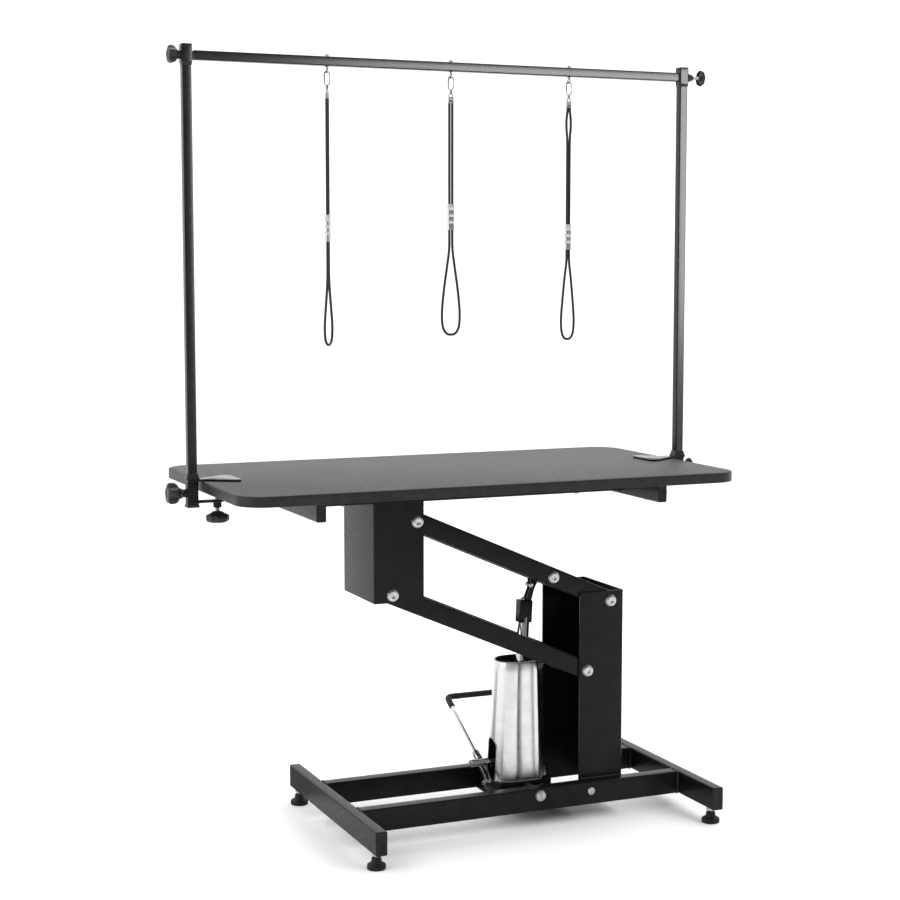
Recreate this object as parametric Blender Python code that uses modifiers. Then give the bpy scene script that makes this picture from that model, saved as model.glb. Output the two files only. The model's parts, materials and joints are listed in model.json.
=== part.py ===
"""Hydraulic pet grooming table with an overhead bar and three nooses.

Metres, +Z up, +X along the table, -Y towards the side the pump's front bolts show on.
The origin is on the floor, under the middle of the table top.

A pump stands between the rails of an H-shaped base. It lifts a parallelogram of two arms,
whose far end carries the head bracket and the table top. Clamps on the two short sides
hold the posts of an overhead frame, and three nooses hang from its bar.
"""

import math

import bmesh
import bpy
from mathutils import Matrix, Vector

# ---------------------------------------------------------------- driving dimensions
FIT = 0.0003                # gap between neighbouring solids
ROUND = 12                  # sides of an ordinary round piece

TABLE_LENGTH = 1.10
TABLE_WIDTH = 0.60
TABLE_HEIGHT = 0.775
TABLE_CORNER = 0.058
BOARD_THICK = 0.018
MAT_THICK = 0.003
BAND_THICK = 0.002

FRAME_RAIL_Y = 0.0785       # steel frame under the board
FRAME_RAIL_WIDTH = 0.020
FRAME_RAIL_HEIGHT = 0.034
FRAME_CROSS_X = 0.380
FRAME_CROSS_WIDTH = 0.020
FRAME_CROSS_HEIGHT = 0.040
FRAME_CROSS_LENGTH = 0.520

BASE_LEFT = -0.2745         # outer face of the left cross tube
BASE_RIGHT = 0.5325
BASE_DEPTH = 0.544
BASE_TUBE = 0.025           # width of a cross tube
BASE_TOP = 0.084
BASE_BOTTOM = 0.034
RAIL_OUTER = 0.124          # outer face of a rail, from the middle plane
RAIL_WIDTH = 0.030
FOOT_INSET = 0.030

COLUMN_LEFT = 0.273
COLUMN_RIGHT = 0.381
COLUMN_TOP = 0.500
COLUMN_BOTTOM = 0.036
CHANNEL_HALF = 0.0935       # half the width of the column and of the head bracket
CHANNEL_WALL = 0.004

ARM_LENGTH = 0.500          # between pivots
ARM_ANGLE = math.radians(23.6)
ARM_DEPTH = 0.040
ARM_WIDTH = 0.020
ARM_OVERHANG = 0.018
ARM_OUTER = 0.0885          # outer face of an arm bar, from the middle plane
LIFT_REACH = 0.150          # from the column pivot to the ram's bolt, along the upper arm

UPPER_PIVOT = Vector((0.3477, 0.0, 0.478))
LOWER_PIVOT = Vector((0.2920, 0.0, 0.326))
ALONG_ARM = Vector((-math.cos(ARM_ANGLE), 0.0, math.sin(ARM_ANGLE)))
HEAD_UPPER = UPPER_PIVOT + ALONG_ARM * ARM_LENGTH
HEAD_LOWER = LOWER_PIVOT + ALONG_ARM * ARM_LENGTH
LIFT_PIVOT = UPPER_PIVOT + ALONG_ARM * LIFT_REACH

HEAD_LEFT = -0.207
HEAD_RIGHT = -0.096
HEAD_BOTTOM = 0.510

PIN_RADIUS = 0.008
PIN_HOLE = PIN_RADIUS + 0.0007
PIN_HEAD_RADIUS = 0.013
PIN_HEAD_HEIGHT = 0.0065

PUMP_PIVOT = Vector((0.164, 0.0, 0.068))
PUMP_PIN_RADIUS = 0.006
RAM_LEAN = math.radians(2.7)
RAM_RADIUS = 0.0130
BORE_RADIUS = 0.0205
COVER_BOTTOM = 0.0800
COVER_TOP = 0.346
ROD_TOP = 0.4692
CAP_TOP = 0.476             # of the square cap on the rod's end
CAP_BOTTOM = 0.427
LINK_EYE = 0.0135
LINK_FOOT = 0.0065

PEDAL_PIVOT = Vector((0.078, 0.0, 0.120))
PEDAL_CORNER = Vector((0.080, 0.193, 0.224))
PEDAL_GRIP_LENGTH = 0.135

POST_X = 0.567
POST_SIDE = 0.019
POST_BOTTOM = 0.722
BAR_HEIGHT = 1.626          # middle of the overhead bar
HEAD_BLOCK = 0.0225
HEAD_BLOCK_TOP = 1.6480
HEAD_BLOCK_BOTTOM = 1.6090

CLAMP_TOP = 0.7912          # post clamps
CLAMP_BOTTOM = 0.7217
SLEEVE_SIDE = 0.0228
SLEEVE_HOLE = POST_SIDE + 0.0008
JAW_THICK = 0.004
TONGUE_TOP = 0.7345
SCREW_X = 0.514
LOCK_HEIGHT = 0.751
LOCK_TIPS = {"left": 0.6195, "right": 0.6045}
BAR_KNOB_TIPS = {"left": 0.6040, "right": 0.6195}
BOSS_RADIUS = 0.0085        # threaded bosses for the clamp screw and the post lock
STUD_RADIUS = 0.0040        # threaded studs of the knobs
STUD_HOLE = 0.0046

CORD_RADIUS = 0.00275
CORD_TOP = 1.5507
CORD_STEP = 0.0165
HOOK_PIVOT_Z = 1.6056
# Each noose: place along the bar, turn about its own axis, middle of its slider, and its
# outline from the ferrule to the bottom of the loop as (half gap, height).
NOOSES = (
    (-0.2706, 45.0, 1.2870, ((0.0031, 1.5507), (0.0031, 1.4700), (0.0031, 1.3500), (0.0031, 1.2500),
                             (0.0034, 1.1950), (0.0062, 1.1620), (0.0125, 1.1240), (0.0178, 1.0880),
                             (0.0163, 1.0610), (0.0090, 1.0492))),
    (0.0059, -23.0, 1.3127, ((0.0031, 1.5507), (0.0031, 1.4700), (0.0031, 1.3700), (0.0031, 1.2750),
                             (0.0038, 1.2420), (0.0080, 1.2080), (0.0145, 1.1600), (0.0188, 1.1120),
                             (0.0172, 1.0810), (0.0098, 1.0664))),
    (0.2847, 8.0, 1.2722, ((0.0031, 1.5507), (0.0032, 1.5430), (0.0054, 1.5270), (0.0056, 1.5080),
                           (0.0034, 1.4820), (0.0031, 1.4500), (0.0031, 1.3700), (0.0031, 1.2450),
                           (0.0040, 1.2150), (0.0080, 1.1850), (0.0130, 1.1400), (0.0168, 1.0950),
                           (0.0152, 1.0660), (0.0086, 1.0524))),
)


# ---------------------------------------------------------------- scene and materials
def clear_scene():
    for obj in list(bpy.data.objects):
        bpy.data.objects.remove(obj, do_unlink=True)


def new_collection(name):
    collection = bpy.data.collections.new(name)
    bpy.context.scene.collection.children.link(collection)
    return collection


clear_scene()
PARTS = new_collection("grooming_table")
CUTTERS = new_collection("grooming_table_cutters")


def make_material(name, colour, roughness, metallic):
    material = bpy.data.materials.new(name)
    material.use_nodes = True
    shader = material.node_tree.nodes["Principled BSDF"]
    shader.inputs["Base Color"].default_value = (*colour, 1.0)
    shader.inputs["Roughness"].default_value = roughness
    shader.inputs["Metallic"].default_value = metallic
    return material


FRAME_BLACK = make_material("frame_black", (0.013, 0.013, 0.014), 0.42, 0.0)
CHROME = make_material("chrome", (0.80, 0.80, 0.81), 0.08, 1.0)
BOLT_STEEL = make_material("bolt_steel", (0.62, 0.62, 0.63), 0.25, 1.0)
PLASTIC = make_material("black_plastic", (0.020, 0.020, 0.021), 0.50, 0.0)
RUBBER = make_material("grip_rubber", (0.016, 0.016, 0.016), 0.75, 0.0)
MAT_RUBBER = make_material("mat_rubber", (0.16, 0.16, 0.165), 0.70, 0.0)
BOARD = make_material("board", (0.10, 0.09, 0.08), 0.80, 0.0)
EDGE = make_material("edge_trim", (0.045, 0.045, 0.047), 0.45, 0.0)
CORD = make_material("noose_cord", (0.012, 0.012, 0.013), 0.85, 0.0)


# ---------------------------------------------------------------- building helpers
def joint_empty(name, place, parent=None):
    """An empty on a joint's axis, which the pieces of that body hang from."""
    empty = bpy.data.objects.new(name, None)
    empty.empty_display_size = 0.03
    PARTS.objects.link(empty)
    empty.location = place
    bpy.context.view_layer.update()
    if parent:
        hang_on(empty, parent)
    return empty


def hang_on(obj, parent):
    """Parents an object without moving it."""
    bpy.context.view_layer.update()
    obj.parent = parent
    obj.matrix_parent_inverse = parent.matrix_world.inverted()
    bpy.context.view_layer.update()


def add_object(name, data, material, place=(0, 0, 0), turn=(0, 0, 0), parent=None):
    obj = bpy.data.objects.new(name, data)
    obj.location = place
    obj.rotation_euler = turn
    PARTS.objects.link(obj)
    data.materials.append(material)
    if parent:
        hang_on(obj, parent)
    return obj


def mesh_from(bm, name):
    mesh = bpy.data.meshes.new(name)
    bm.to_mesh(mesh)
    bm.free()
    return mesh


def block_mesh(name, size, rounding=0.0, along=None, steps=2):
    """A box, with the edges that run along one axis (or all of them) rounded."""
    bm = bmesh.new()
    bmesh.ops.create_cube(bm, size=1.0)
    bmesh.ops.scale(bm, vec=size, verts=bm.verts)
    if rounding:
        edges = [edge for edge in bm.edges if along is None or runs_along(edge, along)]
        bmesh.ops.bevel(bm, geom=edges, offset=rounding, segments=steps, profile=0.5, affect="EDGES")
    return mesh_from(bm, name)


def runs_along(edge, axis):
    direction = edge.verts[1].co - edge.verts[0].co
    return abs(direction[axis]) > 0.99 * direction.length


def block(name, size, place, material, rounding=0.0, along=None, steps=2, turn=(0, 0, 0), parent=None):
    mesh = block_mesh(name, size, rounding, along, steps)
    return add_object(name, mesh, material, place, turn, parent)


def shell(name, size, place, material, wall, open_sides, rounding=0.0, along=2, steps=2,
          turn=(0, 0, 0), parent=None):
    """A box of sheet metal: the faces whose normals are in open_sides are left out."""
    bm = bmesh.new()
    bmesh.ops.create_cube(bm, size=1.0)
    bmesh.ops.scale(bm, vec=size, verts=bm.verts)
    gone = [face for face in bm.faces if any(face.normal.dot(Vector(side)) > 0.9 for side in open_sides)]
    bmesh.ops.delete(bm, geom=gone, context="FACES")
    if rounding:
        edges = [edge for edge in bm.edges if runs_along(edge, along) and len(edge.link_faces) == 2]
        bmesh.ops.bevel(bm, geom=edges, offset=rounding, segments=steps, profile=0.5, affect="EDGES")
    obj = add_object(name, mesh_from(bm, name), material, place, turn, parent)
    skin = obj.modifiers.new("wall", "SOLIDIFY")
    skin.thickness = wall
    skin.offset = -1.0
    skin.use_even_offset = True
    return obj


ENDS = {0: ((1, 0, 0), (-1, 0, 0)), 1: ((0, 1, 0), (0, -1, 0)), 2: ((0, 0, 1), (0, 0, -1))}


def box_tube(name, size, place, material, axis, wall=0.002, rounding=0.003, turn=(0, 0, 0), parent=None):
    """A rectangular steel tube, open at both ends."""
    return shell(name, size, place, material, wall, ENDS[axis], rounding, axis, 1, turn, parent)


def rod_mesh(name, radius, length, sides=ROUND, top_radius=None):
    bm = bmesh.new()
    upper = radius if top_radius is None else top_radius
    bmesh.ops.create_cone(bm, cap_ends=True, segments=sides, radius1=radius, radius2=upper, depth=length)
    return mesh_from(bm, name)


ALONG_X = (0.0, math.pi / 2, 0.0)
ALONG_Y = (math.pi / 2, 0.0, 0.0)
ALONG_Z = (0.0, 0.0, 0.0)


def rod(name, radius, length, place, material, turn=ALONG_Z, sides=ROUND, top_radius=None, parent=None):
    mesh = rod_mesh(name, radius, length, sides, top_radius)
    obj = add_object(name, mesh, material, place, turn, parent)
    smooth(mesh)
    return obj


def smooth(mesh, angle=35.0):
    mesh.shade_smooth()
    mesh.set_sharp_from_angle(angle=math.radians(angle))


def turned(name, profile, place, material, turn=ALONG_Z, sides=ROUND, parent=None):
    """A turned piece. The profile is (radius, height) from the top of its axis to the bottom."""
    mesh = bpy.data.meshes.new(name)
    points = [(radius, 0.0, height) for radius, height in profile]
    mesh.from_pydata(points, [(i, i + 1) for i in range(len(points) - 1)], [])
    obj = add_object(name, mesh, material, place, turn, parent)
    screw = obj.modifiers.new("turn", "SCREW")
    screw.axis = "Z"
    screw.angle = 2 * math.pi
    screw.steps = sides
    screw.render_steps = sides
    screw.use_merge_vertices = True
    screw.merge_threshold = 0.00001
    screw.use_smooth_shade = True
    return obj


def outline_curve(name, outlines, thickness):
    """A flat plate in the XY plane from one closed outline, and any further ones as holes."""
    curve = bpy.data.curves.new(name, "CURVE")
    curve.dimensions = "2D"
    curve.fill_mode = "BOTH"
    curve.extrude = thickness / 2
    for outline in outlines:
        spline = curve.splines.new("POLY")
        spline.points.add(len(outline) - 1)
        for point, (x, y) in zip(spline.points, outline):
            point.co = (x, y, 0.0, 1.0)
        spline.use_cyclic_u = True
    return curve


def to_mesh(obj):
    """Replaces a curve object by the mesh it evaluates to, with its caps welded on."""
    bpy.context.view_layer.update()
    evaluated = obj.evaluated_get(bpy.context.evaluated_depsgraph_get())
    mesh = bpy.data.meshes.new_from_object(evaluated)
    bm = bmesh.new()
    bm.from_mesh(mesh)
    bmesh.ops.remove_doubles(bm, verts=bm.verts, dist=0.00001)
    bm.to_mesh(mesh)
    bm.free()
    name = obj.name
    matrix = obj.matrix_world.copy()
    parent = obj.parent
    bpy.data.objects.remove(obj, do_unlink=True)
    made = bpy.data.objects.new(name, mesh)
    made.matrix_world = matrix
    PARTS.objects.link(made)
    if parent:
        hang_on(made, parent)
    return made


def plate(name, outlines, thickness, place, material, turn=ALONG_Z, parent=None):
    curve = outline_curve(name, outlines, thickness)
    return to_mesh(add_object(name, curve, material, place, turn, parent))


def wire(name, points, radius, material, parent=None, resolution=2):
    """A round bar or cord along world points."""
    start = Vector(points[0])
    curve = bpy.data.curves.new(name, "CURVE")
    curve.dimensions = "3D"
    curve.bevel_depth = radius
    curve.bevel_resolution = resolution
    curve.use_fill_caps = True
    spline = curve.splines.new("POLY")
    spline.points.add(len(points) - 1)
    for knot, point in zip(spline.points, points):
        knot.co = (*(Vector(point) - start), 1.0)
    return add_object(name, curve, material, start, (0, 0, 0), parent)


def put_with_cutters(tool):
    """Keeps a tool out of the model: it only serves a Boolean."""
    PARTS.objects.unlink(tool)
    CUTTERS.objects.link(tool)
    tool.hide_render = True
    tool.display_type = "WIRE"


def combine(obj, tools, operation):
    for tool in tools:
        if tool.name not in CUTTERS.objects:
            put_with_cutters(tool)
        modifier = obj.modifiers.new(tool.name, "BOOLEAN")
        modifier.operation = operation
        modifier.object = tool
    return obj


def cut(obj, *tools):
    return combine(obj, tools, "DIFFERENCE")


def weld(obj, *tools):
    return combine(obj, tools, "UNION")


def rounded_rectangle(length, width, radius, steps=4):
    points = []
    corners = ((1, 1, 0), (-1, 1, 90), (-1, -1, 180), (1, -1, 270))
    for sign_x, sign_y, start in corners:
        centre_x = sign_x * (length / 2 - radius)
        centre_y = sign_y * (width / 2 - radius)
        for step in range(steps + 1):
            angle = math.radians(start + 90 * step / steps)
            points.append((centre_x + radius * math.cos(angle), centre_y + radius * math.sin(angle)))
    return points


def arc(centre, radius, start, end, steps):
    """Points (x, y) on an arc, angles in degrees."""
    angles = [math.radians(start + (end - start) * i / steps) for i in range(steps + 1)]
    return [(centre[0] + radius * math.cos(a), centre[1] + radius * math.sin(a)) for a in angles]


def smooth_route(knots, step):
    """Evenly spaced points on a Catmull-Rom curve through the knots."""
    knots = [Vector(knot) for knot in knots]
    padded = [2 * knots[0] - knots[1]] + knots + [2 * knots[-1] - knots[-2]]
    fine = []
    for i in range(len(knots) - 1):
        p0, p1, p2, p3 = padded[i:i + 4]
        for j in range(24):
            t = j / 24
            fine.append(0.5 * (2 * p1 + (p2 - p0) * t + (2 * p0 - 5 * p1 + 4 * p2 - p3) * t * t
                               + (3 * p1 - p0 - 3 * p2 + p3) * t ** 3))
    fine.append(knots[-1])
    lengths = [0.0]
    for a, b in zip(fine, fine[1:]):
        lengths.append(lengths[-1] + (b - a).length)
    count = max(2, round(lengths[-1] / step))
    points = []
    place = 0
    for i in range(count + 1):
        wanted = lengths[-1] * i / count
        while place < len(fine) - 2 and lengths[place + 1] < wanted:
            place += 1
        span = lengths[place + 1] - lengths[place]
        points.append(fine[place].lerp(fine[place + 1], (wanted - lengths[place]) / span))
    return points


def pin(name, place, half_length, radius, head_radius, head_height, parent=None):
    """A bolt along Y with a domed head at each end; half_length is to the faces under the heads."""
    tip = half_length + head_height
    dome = ((0.0, tip), (head_radius * 0.55, tip), (head_radius * 0.90, tip - head_height * 0.35),
            (head_radius, tip - head_height * 0.65), (head_radius, half_length), (radius, half_length))
    profile = list(dome) + [(r, -z) for r, z in reversed(dome)]
    return turned(name, profile, place, BOLT_STEEL, ALONG_Y, ROUND, parent)


def cross_hole(name, place, radius, length=0.30):
    """A cutter along Y."""
    return rod(name, radius, length, place, FRAME_BLACK, ALONG_Y)


# ---------------------------------------------------------------- base
def build_base():
    middle_z = (BASE_TOP + BASE_BOTTOM) / 2
    height = BASE_TOP - BASE_BOTTOM
    foot_y = BASE_DEPTH / 2 - FOOT_INSET
    number = 1
    for side, outer, inward in (("left", BASE_LEFT, 1), ("right", BASE_RIGHT, -1)):
        x = outer + inward * BASE_TUBE / 2
        tube = box_tube(f"base_tube_{side}", (BASE_TUBE, BASE_DEPTH, height), (x, 0, middle_z),
                        FRAME_BLACK, 1)
        for y in (-foot_y, foot_y):
            cut(tube, rod(f"foot_hole_{number}", 0.0056, 0.02, (x, y, BASE_BOTTOM), FRAME_BLACK, sides=12))
            profile = ((0.0, 0.058), (0.0048, 0.058), (0.0048, 0.0245), (0.0095, 0.0240), (0.0105, 0.0150),
                       (0.0185, 0.0105), (0.0195, 0.0085), (0.0195, 0.0), (0.0, 0.0))
            turned(f"foot_{number}", profile, (x, y, 0.0), PLASTIC)
            number += 1
    left = BASE_LEFT + BASE_TUBE + FIT
    right = BASE_RIGHT - BASE_TUBE - FIT
    for side, sign in (("front", -1), ("back", 1)):
        y = sign * (RAIL_OUTER - RAIL_WIDTH / 2)
        rail = box_tube(f"base_rail_{side}", (right - left, RAIL_WIDTH, height),
                        ((left + right) / 2, y, middle_z), FRAME_BLACK, 0)
        cut(rail, cross_hole(f"pump_pin_hole_{side}", PUMP_PIVOT, PUMP_PIN_RADIUS + 0.0006))
    pin("pump_pivot_bolt", PUMP_PIVOT, RAIL_OUTER + FIT, PUMP_PIN_RADIUS, 0.012, 0.006)


def build_column():
    size = (COLUMN_RIGHT - COLUMN_LEFT, 2 * CHANNEL_HALF, COLUMN_TOP - COLUMN_BOTTOM)
    middle = ((COLUMN_LEFT + COLUMN_RIGHT) / 2, 0, (COLUMN_TOP + COLUMN_BOTTOM) / 2)
    column = shell("column", size, middle, FRAME_BLACK, CHANNEL_WALL, ((0, 0, 1), (-1, 0, 0)), 0.005, 2, 1)
    cut(column, cross_hole("column_hole_upper", UPPER_PIVOT, PIN_HOLE),
        cross_hole("column_hole_lower", LOWER_PIVOT, PIN_HOLE))
    face = CHANNEL_HALF + FIT
    pin("column_bolt_upper", UPPER_PIVOT, face, PIN_RADIUS, PIN_HEAD_RADIUS, PIN_HEAD_HEIGHT)
    pin("column_bolt_lower", LOWER_PIVOT, face, PIN_RADIUS, PIN_HEAD_RADIUS, PIN_HEAD_HEIGHT)


# ---------------------------------------------------------------- arms and head
def build_arm(level, start, holes, parent):
    """A pair of box-section bars from a column pivot to a head pivot."""
    length = ARM_LENGTH + 2 * ARM_OVERHANG
    middle = start + ALONG_ARM * (ARM_LENGTH / 2)
    for side, sign in (("front", -1), ("back", 1)):
        y = sign * (ARM_OUTER - ARM_WIDTH / 2)
        name = f"{level}_arm_{side}"
        bar = box_tube(name, (length, ARM_WIDTH, ARM_DEPTH), middle + Vector((0, y, 0)), FRAME_BLACK, 0,
                       0.0025, 0.0035, (0.0, ARM_ANGLE, 0.0), parent)
        for number, hole in enumerate(holes):
            cut(bar, cross_hole(f"{name}_hole_{number}", hole, PIN_HOLE))


def build_head(parent):
    top = TABLE_HEIGHT - MAT_THICK - BOARD_THICK - 2 * FIT
    size = (HEAD_RIGHT - HEAD_LEFT, 2 * CHANNEL_HALF, top - HEAD_BOTTOM)
    middle = ((HEAD_LEFT + HEAD_RIGHT) / 2, 0, (top + HEAD_BOTTOM) / 2)
    head = shell("head_bracket", size, middle, FRAME_BLACK, CHANNEL_WALL,
                 ((0, 0, 1), (0, 0, -1), (1, 0, 0)), 0.005, 2, 1, parent=parent)
    for side, sign in (("front", -1), ("back", 1)):
        notch = block(f"rail_notch_{side}", (0.02, FRAME_RAIL_WIDTH + 0.002, 2 * FRAME_RAIL_HEIGHT),
                      (HEAD_LEFT, sign * FRAME_RAIL_Y, top), FRAME_BLACK)
        cut(head, notch)
    cut(head, cross_hole("head_hole_upper", HEAD_UPPER, PIN_HOLE),
        cross_hole("head_hole_lower", HEAD_LOWER, PIN_HOLE))
    face = CHANNEL_HALF + FIT
    pin("head_bolt_upper", HEAD_UPPER, face, PIN_RADIUS, PIN_HEAD_RADIUS, PIN_HEAD_HEIGHT, parent)
    pin("head_bolt_lower", HEAD_LOWER, face, PIN_RADIUS, PIN_HEAD_RADIUS, PIN_HEAD_HEIGHT, parent)


def build_table(parent):
    mat_top = TABLE_HEIGHT
    board_top = mat_top - MAT_THICK - FIT
    board_bottom = board_top - BOARD_THICK
    inset = 2 * (BAND_THICK + FIT)
    inner = (TABLE_LENGTH - inset, TABLE_WIDTH - inset)
    radius = TABLE_CORNER - BAND_THICK - FIT
    block("table_board", (*inner, BOARD_THICK), (0, 0, (board_top + board_bottom) / 2), BOARD,
          radius, 2, 6, parent=parent)
    block("table_mat", (*inner, MAT_THICK), (0, 0, mat_top - MAT_THICK / 2), MAT_RUBBER,
          radius, 2, 6, parent=parent)
    band_top = mat_top - 0.0004
    shell("edge_band", (TABLE_LENGTH, TABLE_WIDTH, band_top - board_bottom),
          (0, 0, (band_top + board_bottom) / 2), EDGE, BAND_THICK, ENDS[2], TABLE_CORNER, 2, 6,
          parent=parent)
    frame_top = board_bottom - FIT
    for side, sign in (("left", -1), ("right", 1)):
        box_tube(f"frame_cross_{side}", (FRAME_CROSS_WIDTH, FRAME_CROSS_LENGTH, FRAME_CROSS_HEIGHT),
                 (sign * FRAME_CROSS_X, 0, frame_top - FRAME_CROSS_HEIGHT / 2), FRAME_BLACK, 1,
                 parent=parent)
    length = 2 * (FRAME_CROSS_X - FRAME_CROSS_WIDTH / 2 - FIT)
    for side, sign in (("front", -1), ("back", 1)):
        box_tube(f"frame_rail_{side}", (length, FRAME_RAIL_WIDTH, FRAME_RAIL_HEIGHT),
                 (0, sign * FRAME_RAIL_Y, frame_top - FRAME_RAIL_HEIGHT / 2), FRAME_BLACK, 0,
                 parent=parent)


# ---------------------------------------------------------------- pump
def ram_point(height):
    """The point of the ram's axis at a height above the floor."""
    return PUMP_PIVOT + Vector((math.tan(RAM_LEAN), 0, 1)) * (height - PUMP_PIVOT.z)


def ram_cylinder(name, radius, bottom, top, material, sides=ROUND, parent=None):
    low = ram_point(bottom)
    high = ram_point(top)
    return rod(name, radius, (high - low).length, (low + high) / 2, material, (0, RAM_LEAN, 0), sides,
               parent=parent)


def build_pump(parent):
    body = block("pump_body", (0.132, 0.092, 0.034), (0.168, 0, 0.0627), FRAME_BLACK, 0.012, 2, 3,
                 parent=parent)
    sole = block("pump_sole", (0.158, 0.176, 0.006), (0.180, 0, 0.0430), FRAME_BLACK)
    trunnion = rod("pump_trunnion", 0.0115, 0.187, PUMP_PIVOT, FRAME_BLACK, ALONG_Y)
    cylinder = ram_cylinder("pump_cylinder", 0.0270, 0.060, 0.325, FRAME_BLACK, 16)
    stand = block("pedal_stand", (0.010, 0.030, 0.070), (0.126, 0, 0.104), FRAME_BLACK, 0.004, 0, 2)
    spindle = rod("pedal_spindle", 0.0042, 0.080, (0.088, 0, PEDAL_PIVOT.z), FRAME_BLACK, ALONG_X, 12)
    weld(body, sole, trunnion, cylinder, stand, spindle)
    cut(body, ram_cylinder("pump_bore", BORE_RADIUS, 0.105, 0.340, FRAME_BLACK, 16),
        cross_hole("pump_pin_bore", PUMP_PIVOT, PUMP_PIN_RADIUS + 0.0006))
    build_cover(parent)


def build_cover(parent):
    """The chrome shroud: a tapered shell of rounded section, open at both ends."""
    sections = ((COVER_BOTTOM, 0.1650, 0.1290, 0.094, 0.036),
                (COVER_TOP - 0.004, 0.1688, 0.1070, 0.078, 0.030),
                (COVER_TOP, 0.1688, 0.1040, 0.075, 0.029))
    bm = bmesh.new()
    rings = []
    for height, x, length, width, radius in sections:
        outline = rounded_rectangle(length, width, radius, 5)
        rings.append([bm.verts.new((x + px, py, height)) for px, py in outline])
    for lower, upper in zip(rings, rings[1:]):
        for i in range(len(lower)):
            j = (i + 1) % len(lower)
            bm.faces.new((lower[i], lower[j], upper[j], upper[i]))
    cover = add_object("pump_cover", mesh_from(bm, "pump_cover"), CHROME, parent=parent)
    smooth(cover.data)
    skin = cover.modifiers.new("wall", "SOLIDIFY")
    skin.thickness = 0.0015
    skin.offset = -1.0
    skin.use_even_offset = True
    arch = [(-0.021, 0.0), (0.021, 0.0)] + arc((0.0, 0.082), 0.021, 0, 180, 8)
    cutter = plate("cover_arch", [arch], 0.060, (0.105, 0, 0.070), CHROME, (math.pi / 2, 0, math.pi / 2))
    cut(cover, cutter)


def build_ram(parent):
    ram_cylinder("piston_rod", RAM_RADIUS, 0.200, ROD_TOP, CHROME, ROUND, parent)
    bracket = block("rod_bracket", (0.030, 0.028, CAP_TOP - CAP_BOTTOM),
                    ram_point((CAP_TOP + CAP_BOTTOM) / 2), FRAME_BLACK, 0.003, 2, 2, turn=(0, RAM_LEAN, 0),
                    parent=parent)
    cut(bracket, ram_cylinder("cap_bore", RAM_RADIUS + FIT, CAP_BOTTOM - 0.010, ROD_TOP + FIT, FRAME_BLACK))
    foot = ram_point(CAP_TOP) + Vector((0.0075, 0, 0.0030))
    reach = LIFT_PIVOT - foot
    span = math.hypot(reach.x, reach.z)
    outline = arc((0, 0), LINK_FOOT, 90, 270, 6) + arc((span, 0), LINK_EYE, -90, 90, 8)
    tilt = math.atan2(reach.z, reach.x)
    link = plate("ram_link", [outline], 0.018, foot, FRAME_BLACK)
    link.matrix_world = (Matrix.Translation(foot) @ Matrix.Rotation(-tilt, 4, "Y")
                         @ Matrix.Rotation(math.pi / 2, 4, "X"))
    weld(bracket, link)
    cut(bracket, cross_hole("ram_eye_hole", LIFT_PIVOT, PIN_HOLE))


def build_pedal(parent):
    crank = rod("pedal_crank", 0.0085, 0.044, (0.0750, 0, PEDAL_PIVOT.z), CHROME, ALONG_X, 16, parent=parent)
    towards = (PEDAL_CORNER - Vector((PEDAL_PIVOT.x, 0, PEDAL_PIVOT.z))).normalized()
    aim = towards.to_track_quat("Z", "Y").to_euler()
    socket = rod("pedal_socket", 0.0080, 0.034, PEDAL_PIVOT + towards * 0.019, CHROME, tuple(aim), 12)
    tail_end = Vector((0.078, -0.036, 0.087))
    tail_way = tail_end - PEDAL_PIVOT
    tail = block("pedal_tail", (0.012, tail_way.length + 0.010, 0.011), (PEDAL_PIVOT + tail_end) / 2,
                 CHROME, 0.003, 0, 2, turn=(math.atan2(tail_way.z, tail_way.y) + math.pi, 0, 0))
    weld(crank, socket, tail)
    cut(crank, rod("pedal_bore", 0.0048, 0.060, (0.0750, 0, PEDAL_PIVOT.z), CHROME, ALONG_X, 12),
        rod("pedal_rod_bore", 0.0045, 0.030, PEDAL_PIVOT + towards * 0.0265, CHROME, tuple(aim), 12))
    start = PEDAL_PIVOT + towards * 0.0125
    bend = 0.012
    end = PEDAL_CORNER + Vector((PEDAL_GRIP_LENGTH, 0, 0))
    turn_in = PEDAL_CORNER - towards * bend
    turn_out = PEDAL_CORNER + Vector((bend, 0, 0))
    corner = [quadratic(turn_in, PEDAL_CORNER, turn_out, i / 5) for i in range(6)]
    route = [start] + corner + [end]
    wire("pedal_rod", route, 0.0041, CHROME, parent)
    sleeve_start = PEDAL_CORNER - towards * 0.034
    sleeve_route = [sleeve_start] + corner + [end + Vector((0.003, 0, 0))]
    grip = to_mesh(wire("pedal_grip", sleeve_route, 0.0072, RUBBER, parent, 2))
    hollow_route = [PEDAL_CORNER - towards * 0.040] + corner + [end + Vector((FIT, 0, 0))]
    cut(grip, to_mesh(wire("grip_hollow", hollow_route, 0.0047, RUBBER, None, 2)))


def quadratic(a, b, c, t):
    """A point of the curve that leaves a towards b and arrives at c from b."""
    return (1 - t) ** 2 * a + 2 * t * (1 - t) * b + t ** 2 * c


# ---------------------------------------------------------------- clamps and overhead frame
def star_outline(radius, lobes, depth, steps=4):
    count = lobes * steps
    angles = [2 * math.pi * i / count for i in range(count)]
    return [(radius * (1 - depth + depth * math.cos(lobes * a)) * math.cos(a),
             radius * (1 - depth + depth * math.cos(lobes * a)) * math.sin(a)) for a in angles]


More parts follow.
